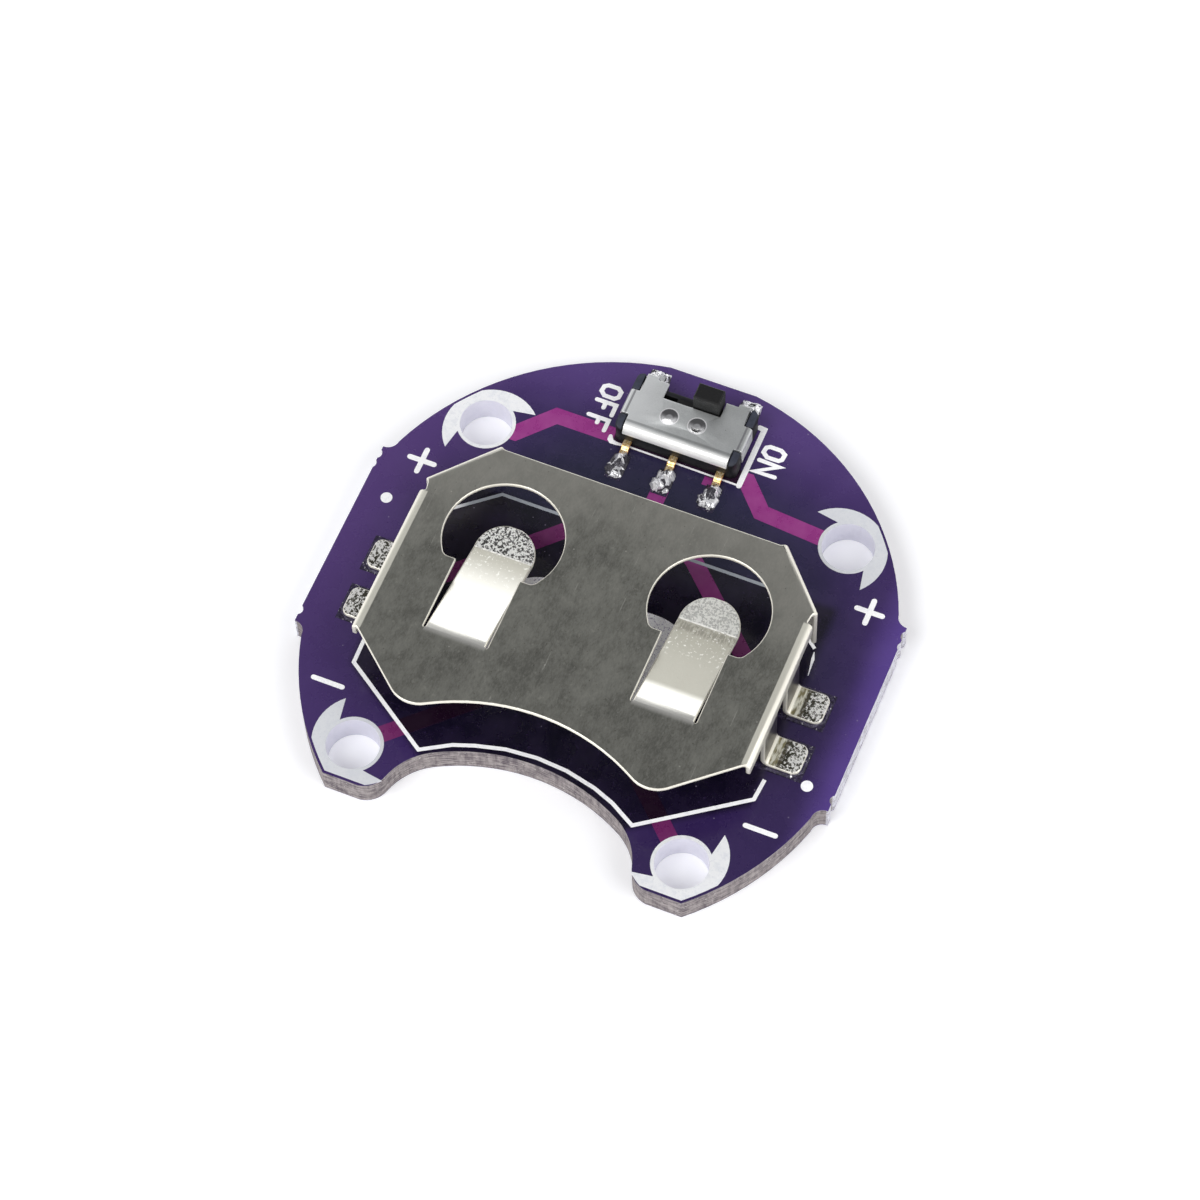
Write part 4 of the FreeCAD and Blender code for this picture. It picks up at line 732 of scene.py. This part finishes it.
def cover_finish():
    """Satin tin-plated cover: a fine matt grain, a painted sheen paler to the left and a painted reflection
    greyer right of the middle, a painted highlight on the rolled front and a grey line behind it, dark lines
    at both ends, pale rubs, dark pin pricks, painted highlights on the bends, painted shade on the left side,
    and two dimples made bright by painted highlights, each with a painted highlight ring and painted shade at
    its rear."""
    f = Finish("cover_sheet")
    fine = f.noise(0.07, 4, 0.75)
    cloud = f.noise(1.1, 3, 0.6, shift=2)
    f.body = f.mix(f.step(fine * 0.5 + cloud * 0.5, 0.38, 0.62), tint(196, 199, 198), tint(220, 223, 222))
    # painted sheen: paler to the left
    f.lay(f.step(f.x, -0.6, -3.2) * 0.7, 250, 252, 252)
    # painted reflection of the knob: greyer right of the middle
    f.lay(f.step(f.x, -0.4, 1.2) * 0.35, 150, 152, 152)
    # painted highlight: bright rolled front
    roll = f.step(f.y + (cloud - 0.5) * 0.12, 12.88, 12.72)
    f.lay(roll * 0.9, 255, 255, 253)
    f.lay(f.step(abs(f.y - 12.96), 0.1, 0.03) * 0.45, 110, 111, 111)
    f.lay(f.step(abs(abs(f.x - SWITCH_X) - 3.02), 0.07, 0.03) * f.step(f.y, 13.2, 13.4) * 0.7, 120, 118, 124)
    rub = f.step(f.noise(0.5, 4, 0.7, on=f.spread((1, 0.35, 1), 0.4), shift=5), 0.62, 0.72)
    f.lay(rub * 0.4, 246, 246, 244)
    f.lay(f.step(f.cells(0.55), 0.07, 0.03) * 0.6, 110, 110, 110)
    # painted highlight: bright on the bends and faces that are not level, most at the front
    f.lay((1 - f.step(abs(f.facing()), 0.8, 0.97)) * f.step(f.y, 12.9, 12.7, 0.15, 0.8), 252, 252, 250)
    # painted shade: grey on faces turned to the left
    f.lay(f.step(f.facing("X"), -0.35, -0.75) * 0.75, 110, 111, 114)
    reach = ((abs(f.x - DIMPLES["x"]) - DIMPLES["aside"]) ** 2 + (f.y - DIMPLES["y"]) ** 2) ** 0.5
    dent = f.step(reach, 0.46, 0.42)
    # painted highlight: bright dimples with a bright ring round each; painted shade at the rear of each
    # dimple below
    f.lay(dent.larger(f.step(abs(reach - 0.47), 0.05, 0.02)), 250, 250, 250)
    f.lay(f.step(f.y + (cloud - 0.5) * 0.3, 13.8, 14.1) * dent * f.step(reach, 0.12, 0.22) * 0.75, 70, 70, 72)
    return f.surface(Metallic=0.72 + dent * 0.28 - roll * 0.3,
                     Roughness=f.varied(fine, 0.28, 0.36) - dent * 0.2,
                     Normal=f.relief(fine + rub * 0.4, 0.008, 0.5))


def moulding_finish(name, dark, pale, fuzz):
    """Moulded black plastic: spark-eroded grain, a painted sheen paler in patches on top, painted shade dark
    in the slot.
    """
    f = Finish(name)
    fine = f.noise(0.08, 4, 0.7)
    cloud = f.noise(0.5, 3, 0.6, shift=2)
    # painted sheen: level tops paler in patches
    top = f.step(f.facing(), 0.35, 0.95)
    f.body = f.mix(top * f.varied(cloud, 0.55, 1), dark, pale)
    # painted shade: dark inside the slot
    f.body = f.mix(f.step(abs(f.x - SWITCH_X), 2.2, 2.1) * f.step(f.y, 12.6, 12.8) * 0.9, f.body, dark)
    f.lay(f.step(fine, 0.58, 0.72) * 0.12, 86, 88, 96)
    return f.surface(Roughness=f.varied(cloud, 0.48, 0.6), Normal=f.relief(fine, fuzz, 0.8), IOR=1.38)


def gold_finish(look):
    """Thin gold-coloured plating, paler on the level parts and orange where it turns down."""
    f = Finish("lead_plating")
    worn = f.noise(0.16, 4, 0.65)
    f.body = f.mix(f.step(worn, 0.45, 0.62), look.gold, tint(250, 236, 204))
    f.lay(f.step(f.facing(), 0.92, 0.55) * 0.85, 206, 132, 60)
    return f.surface(Metallic=0.75, Roughness=f.varied(worn, 0.22, 0.36), Normal=f.relief(worn, 0.01, 0.6))


def bronze_finish():
    """Spring bronze of the sliding contact, faintly streaked."""
    f = Finish("contact_bronze")
    streak = f.noise(0.12, 3, 0.6, on=f.spread((0.2, 1, 1)))
    f.body = f.mix(streak, tint(196, 150, 92), tint(228, 190, 128))
    return f.surface(Metallic=0.9, Roughness=f.varied(streak, 0.28, 0.4), Normal=f.relief(streak, 0.006, 0.5))


def dress(material, *beginnings):
    """Gives the CAD nodes whose names begin so their finish, in their own material slot."""
    for name, node in NODES.items():
        if name.startswith(beginnings):
            node.data.materials[0] = material


# ---- routes, in millimetres

TRACK = {"width": 0.9, "below": 0.012, "proud": 0.006, "stagger": 0.002}
TRACKS = {
    "supply_track": ("trace_supply", [
        [(-8.37, 10.91), (-8.2, 10.91), (-6.62, 12.62), (3.7, 12.62), (5.05, 11.17), (8.37, 10.91)],
        [(2.1, 11.6), (2.1, 12.62)]]),
    "common_track": ("trace_common", [
        [(-9.575, 1.49), (-8.8, 1.49), (-3.7, 6.55), (-0.14, 9.55), (3, 7.3), (8.8, 1.76),
         (9.575, 1.76)],
        [(-0.14, 10.57), (-0.14, 9.55)]]),
    "ground_track_left": ("trace_ground_left", [[(-7.57, -7.28), (-2.13, -2.05)]]),
    "ground_track_right": ("trace_ground_right", [[(7.57, -7.28), (2.13, -2.05)]]),
}

PRINT = {"below": 0.01, "proud": 0.014, "stagger": 0.0015, "usual": 0.2, "words": 1.15}
# each printed line is its path and its width, which may change from point to point
CLIP_LINES = [
    ([(10.29, 4.96), (7.38, 7.35), (-7.38, 7.35), (-10.55, 4.73), (-10.55, 3.6)], 0.17),
    ([(10.34, 4.78), (10.42, 4.4), (10.48, 3.9), (10.53, 3.45)], (0.03, 0.16, 0.08, 0.03)),
    ([(-10.45, -2.7), (-10.41, -4.12), (-5.53, -7.35), (-4.1, -6.5), (-3.06, -6.13), (-1.6, -5.76),
      (0, -5.63), (1.6, -5.74), (3.2, -6.1), (4.3, -6.52), (5.63, -7.27), (10.54, -3.8),
      (10.64, -2.63)], 0.2),
]
SWITCH_LINES = [
    ([(-3.2, 12.22), (-2.65, 12.27), (3.5, 12.2)], 0.1),
    ([(3.44, 12.2), (3.44, 15.72), (3.18, 15.75)], 0.29),
    ([(-2.7, 12.26), (-3.2, 12.22), (-3.48, 12.24), (-3.6, 12.35), (-3.64, 12.52)],
     (0.09, 0.18, 0.26, 0.28, 0.2)),
]
# strokes of OFF and ON, read sideways as they stand beside the switch, and whether each is closed
WORDS = [
    ([(-5.09, 14.84), (-5.06, 15.14), (-4.86, 15.27), (-4.33, 15.27), (-4.12, 15.1), (-4.14, 14.77),
      (-4.31, 14.62), (-4.86, 14.63)], True),
    ([(-5.11, 14.285), (-4.06, 14.285), (-4.06, 13.66)], False),
    ([(-4.62, 14.285), (-4.62, 13.94)], False),
    ([(-5.17, 13.32), (-4.08, 13.32), (-4.08, 12.69)], False),
    ([(-4.59, 13.32), (-4.59, 13.01)], False),
    ([(3.87, 14.49), (3.91, 14.79), (4.08, 14.9), (4.68, 14.89), (4.93, 14.73), (4.9, 14.4),
      (4.76, 14.28), (4.14, 14.27)], True),
    ([(3.84, 13.99), (4.94, 13.95), (3.85, 13.29), (4.92, 13.31)], False),
]
# strokes of the plus and minus signs: middle, half the length in X and in Y, width
SIGNS = [(-11.92, 7.67, 0.66, 0, 0.28), (12.07, 7.87, 0.66, 0, 0.28), (-11.92, 7.67, 0, 0.66, 0.28),
         (12.07, 7.87, 0, 0.66, 0.28), (-11.14, -5.6, 0.77, 0, 0.26), (11.44, -5.24, 0.77, 0, 0.26)]
DOTS = [(-12.71, 5.03), (12.65, -2.19)]
DOT_RADIUS = 0.3

# the switch's leads: where each stands in X, and their run from the housing to the toe in Y
LEADS = {"off": -2.64, "common": -0.14, "on": 2.36}
LEAD = {"root": 14.4, "shoulder": 12.1, "heel": 11.9, "toe": 11.2, "bends": (0.11, 0.09),
        "width": 0.41, "thick": 0.15, "above_pad": 0.1}
TABS = {"left": -2.62, "right": 2.34}
# heaps of a solder joint: step aside, place in Y, reach in X and Y, height, other values for lump().
# At a lead: a low skirt over the pad, a heap on the toe, a flake at the left front, a ridge behind.
LEAD_HEAPS = [
    (0, 11.02, (0.46, 0.7), 0.55, {"edge": 0.16, "corners": 5, "power": 6, "crease": 0.85}),
    (0.02, 11.24, (0.38, 0.58), 1.65, {"rough": 0.45, "edge": 0.3, "lean": (0.1, 0.1), "crease": 0.9}),
    (-0.24, 10.74, (0.34, 0.4), 1.05, {"edge": 0.45, "turned": 0.5, "crease": 0.7}),
    (0.18, 11.42, (0.26, 0.34), 1.45, {"rough": 0.4, "edge": 0.4, "crease": 0.7}),
]
TAB_HEAPS = [
    (0, 16.44, (0.56, 0.58), 0.26, {"rough": 0.8, "edge": 0.16, "corners": 5, "power": 5}),
    (0, 16.12, (0.46, 0.34), 0.66, {"rough": 0.6, "edge": 0.25}),
    (-0.3, 16.5, (0.3, 0.26), 0.34, {"rough": 0.8, "edge": 0.4, "turned": 0.7}),
]
SOLDER_SUNK = 0.01


# ---- pieces

class HOLDER_OT_board(Operator):
    """Finishes the sawn board core and its lacquer on both sides"""
    bl_idname = "holder.board"
    bl_label = "Board and lacquer"

    def execute(self, context):
        look = context.scene.holder_lacquer
        dress(laminate_finish(), "board_core")
        dress(lacquer_finish(look), "mask_top")
        dress(lacquer_finish(look, upper=False), "mask_bottom")
        return {"FINISHED"}


class HOLDER_OT_tracks(Operator):
    """Raises the lacquer where copper tracks run under it"""
    bl_idname = "holder.tracks"
    bl_label = "Covered tracks"

    def execute(self, context):
        finish = covered_copper_finish(context.scene.holder_lacquer)
        low, high = BOARD_TOP - TRACK["below"], BOARD_TOP + TRACK["proud"]
        for name, (node, paths) in TRACKS.items():
            parts = [strip(path, TRACK["width"], low - TRACK["stagger"] * k, high - TRACK["stagger"] * k)
                     for k, path in enumerate(paths)]
            new_piece(name, parts, finish, (node,))
        return {"FINISHED"}


class HOLDER_OT_print(Operator):
    """Prints the clip and switch outlines, ON, OFF, the signs and the two dots in white"""
    bl_idname = "holder.print"
    bl_label = "White print"

    def execute(self, context):
        width = context.scene.holder_lacquer.print_width / MM
        low, high = BOARD_TOP - PRINT["below"], BOARD_TOP + PRINT["proud"]
        # lines that cross differ a little in height, so that no two tops lie in one plane
        level = [high - PRINT["stagger"] * (k % 3) for k in range(len(WORDS))]
        clip = [strip(path, np.array(w) * width / PRINT["usual"], low, level[k])
                for k, (path, w) in enumerate(CLIP_LINES)]
        switch = [strip(path, w, low, level[k], rounded=True) for k, (path, w) in enumerate(SWITCH_LINES)]
        words = [strip(path, width * PRINT["words"], low, level[k], closed, rounded=True)
                 for k, (path, closed) in enumerate(WORDS)]
        signs = [strip([(x - dx, y - dy), (x + dx, y + dy)], w, low, level[dy > 0], rounded=True)
                 for x, y, dx, dy, w in SIGNS]
        signs += [disc(x, y, DOT_RADIUS, low, high) for x, y in DOTS]
        finish = print_finish()
        for name, parts in (("clip_outline_print", clip), ("switch_outline_print", switch),
                            ("switch_words", words), ("signs_print", signs)):
            new_piece(name, parts, finish)
        return {"FINISHED"}


class HOLDER_OT_tinning(Operator):
    """Finishes the sew tabs and bare pads in tinning, the clip's and the leads' pads in the fillet painted
    dark
    """
    bl_idname = "holder.tinning"
    bl_label = "Sew tabs and pads"

    def execute(self, context):
        dress(tin_finish(context.scene.holder_metal), "sew_tab_", "contact_pad", "hold_pad_")
        dress(fillet_finish(), "clip_pad_", "clip_solder_", "lead_pad_")
        return {"FINISHED"}


class HOLDER_OT_clip(Operator):
    """Finishes the folded spring clip"""
    bl_idname = "holder.clip"
    bl_label = "Spring clip"

    def execute(self, context):
        finish = nickel_finish(context.scene.holder_metal)
        rounded_copy("spring_clip", "battery_clip", 0.078, finish)
        return {"FINISHED"}


class HOLDER_OT_switch(Operator):
    """Finishes the switch's housing, cover, knob and sliding contact, and bends its leads: level
    through the housing, down in front of it, then a short foot in the solder"""
    bl_idname = "holder.switch"
    bl_label = "Slide switch"

    def execute(self, context):
        rounded_copy("switch_cover_sheet", "switch_cover", 0.035, cover_finish(), angle=50.0,
                     crisp=20.0, flats=False, rolled=True)
        housing = moulding_finish("housing_moulding", tint(16, 16, 19), tint(58, 62, 76), 0.01)
        rounded_copy("switch_housing", "switch_base", 0.05, housing, rolled=True)
        dress(moulding_finish("knob_moulding", tint(8, 8, 9), tint(14, 14, 15), 0.03), "switch_knob")
        dress(bronze_finish(), "switch_wiper")
        gold = gold_finish(context.scene.holder_metal)
        level = top_of("switch_terminal_common") - LEAD["thick"] / 2
        foot = PAD_TOP + LEAD["above_pad"]
        path = [(LEAD["root"], level), (LEAD["shoulder"], level), (LEAD["heel"], foot), (LEAD["toe"], foot)]
        for label, x in LEADS.items():
            lead = ribbon(path, LEAD["bends"], x, LEAD["width"], LEAD["thick"])
            new_piece("lead_" + label, [lead], gold, ("switch_terminal_" + label,))
        return {"FINISHED"}


class HOLDER_OT_solder(Operator):
    """Models the crinkled solder at the switch's leads and at its cover's tabs"""
    bl_idname = "holder.solder"
    bl_label = "Solder joints"

    def execute(self, context):
        finish = solder_finish()
        rise = context.scene.holder_solder.lead_rise / MM
        low = PAD_TOP - SOLDER_SUNK
        for places, heaps, full, first_seed, name, node in (
                (LEADS, LEAD_HEAPS, rise, SEED, "lead_solder_", "terminal_solder_"),
                (TABS, TAB_HEAPS, 1.0, SEED + 10 * len(LEAD_HEAPS), "tab_solder_", "hold_solder_")):
            for k, (label, x) in enumerate(places.items()):
                parts = [lump((x + aside, y), reach, full * height, low, first_seed + 10 * n + k, **shape)
                         for n, (aside, y, reach, height, shape) in enumerate(heaps)]
                new_piece(name + label, parts, finish, (node + label,), smooth=True)
        return {"FINISHED"}


# ---- studio

FLOOR = {"half": 600.0, "level": -0.01, "glow": 0.16}
HORIZON = (0.25, (0.95, 0.95, 0.97, 1.0))   # the room's height and colour where it starts to dim
OVERHEAD = 0.85
# place and side of each square lamp in millimetres, and its watts
LAMPS = {
    "key": ((-150, -260, 330), 260, 1.05),
    "fill": ((300, -60, 260), 260, 0.6),
    "rear": ((-90, 370, 235), 200, 0.13),
}
LAMP_AIM = Vector((0, 0, 2)) * MM
VIEW = {"azimuth": 24.822, "elevation": 60.989, "roll": -2.669, "distance": 206.128, "right": 0.887,
        "up": 3.079, "lens": 126.252, "sensor": 36.0, "near": 0.01}


def lay_floor(look):
    """A pale floor, a little brighter to the camera and in reflections than as a lit surface."""
    f = Nodes(bpy.data.materials.new("studio_floor"))
    plain = f.add("BsdfDiffuse", {"Color": look.floor})
    glow = f.add("Emission", {"Color": (1, 1, 1, 1), "Strength": FLOOR["glow"]})
    both = f.add("AddShader", {0: plain, 1: glow})
    path = f.add("LightPath", out=None)
    seen = Wire(f, path.outputs["Is Camera Ray"]).larger(Wire(f, path.outputs["Is Glossy Ray"]))
    final = f.add("MixShader", {0: seen, 1: plain, 2: both})
    f.add("OutputMaterial", {"Surface": final}, out=None)
    corners = [(x * FLOOR["half"] * MM, y * FLOOR["half"] * MM, FLOOR["level"] * MM)
               for x, y in ((-1, -1), (1, -1), (1, 1), (-1, 1))]
    mesh = bpy.data.meshes.new("floor")
    mesh.from_pydata(corners, [], [(0, 1, 2, 3)])
    mesh.materials.append(f.owner)
    floor = bpy.data.objects.new("floor", mesh)
    bpy.context.scene.collection.objects.link(floor)


def light_room(look):
    """The world: pale low down and dimmer overhead."""
    room = Nodes(bpy.data.worlds.new("room"))
    bpy.context.scene.world = room.owner
    place = room.add("TexCoord", out="Generated")
    height = room.add("SeparateXYZ", {0: place}, out="Z")
    stops = [HORIZON, (OVERHEAD, (look.sky, look.sky, look.sky * 1.04, 1.0))]
    shade = room.add("ValToRGB", {0: height}, stops=stops)
    room.add("OutputWorld", {0: room.add("Background", {0: shade})}, out=None)


def hang_lamps(scene):
    """Three square lamps, each turned to the part."""
    for name, (place, side, power) in LAMPS.items():
        lamp = bpy.data.lights.new(name, "AREA")
        lamp.shape = "SQUARE"
        lamp.size = side * MM
        lamp.energy = power
        thing = bpy.data.objects.new(name, lamp)
        scene.collection.objects.link(thing)
        at = Vector(place) * MM
        thing.location = at
        thing.rotation_euler = (LAMP_AIM - at).to_track_quat("-Z", "Y").to_euler()


def place_camera(scene):
    """Camera at the photograph's angle: `distance` back along the view, then moved sideways and up
    in its own rolled plane; it looks straight along the view."""
    a, e, r = (math.radians(VIEW[k]) for k in ("azimuth", "elevation", "roll"))
    back = Vector((math.sin(a) * math.cos(e), -math.cos(a) * math.cos(e), math.sin(e)))
    level = Vector((math.cos(a), math.sin(a), 0))
    upright = back.cross(level)
    right = level * math.cos(r) + upright * math.sin(r)
    up = upright * math.cos(r) - level * math.sin(r)
    at = (back * VIEW["distance"] + right * VIEW["right"] + up * VIEW["up"] + Vector((0, 0, BOARD_TOP))) * MM
    data = bpy.data.cameras.new("camera")
    data.lens = VIEW["lens"]
    data.sensor_width = VIEW["sensor"]
    data.clip_start = VIEW["near"]
    camera = bpy.data.objects.new("camera", data)
    scene.collection.objects.link(camera)
    camera.matrix_world = Matrix((
        (right.x, up.x, back.x, at.x),
        (right.y, up.y, back.y, at.y),
        (right.z, up.z, back.z, at.z),
        (0, 0, 0, 1)))
    scene.camera = camera


class HOLDER_OT_studio(Operator):
    """Sets the pale floor, the room light, the soft lamps and the camera"""
    bl_idname = "holder.studio"
    bl_label = "Studio"

    def execute(self, context):
        scene = context.scene
        scene.view_settings.view_transform = "Standard"
        lay_floor(scene.holder_studio)
        light_room(scene.holder_studio)
        hang_lamps(scene)
        place_camera(scene)
        return {"FINISHED"}


# ---- add-on

STEPS = [HOLDER_OT_board, HOLDER_OT_tracks, HOLDER_OT_print, HOLDER_OT_tinning, HOLDER_OT_clip,
         HOLDER_OT_switch, HOLDER_OT_solder, HOLDER_OT_studio]


class HOLDER_PT_panel(Panel):
    """Lists the sizes, colours and steps"""
    bl_idname = "HOLDER_PT_panel"
    bl_label = "Cell Holder"
    bl_space_type = "VIEW_3D"
    bl_region_type = "UI"
    bl_category = "Cell Holder"

    def draw(self, context):
        for key, group in GROUPS.items():
            box = self.layout.box()
            for prop in group.__annotations__:
                box.prop(getattr(context.scene, key), prop)
        for step in STEPS:
            self.layout.operator(step.bl_idname)


def register():
    for cls in list(GROUPS.values()) + STEPS + [HOLDER_PT_panel]:
        bpy.utils.register_class(cls)
    for key, group in GROUPS.items():
        setattr(bpy.types.Scene, key, PointerProperty(type=group))


def unregister():
    for key in GROUPS:
        delattr(bpy.types.Scene, key)
    for cls in reversed(list(GROUPS.values()) + STEPS + [HOLDER_PT_panel]):
        bpy.utils.unregister_class(cls)


def main():
    register()
    for step in STEPS:
        group, call = step.bl_idname.split(".")
        getattr(getattr(bpy.ops, group), call)()


if __name__ == "__main__":
    main()
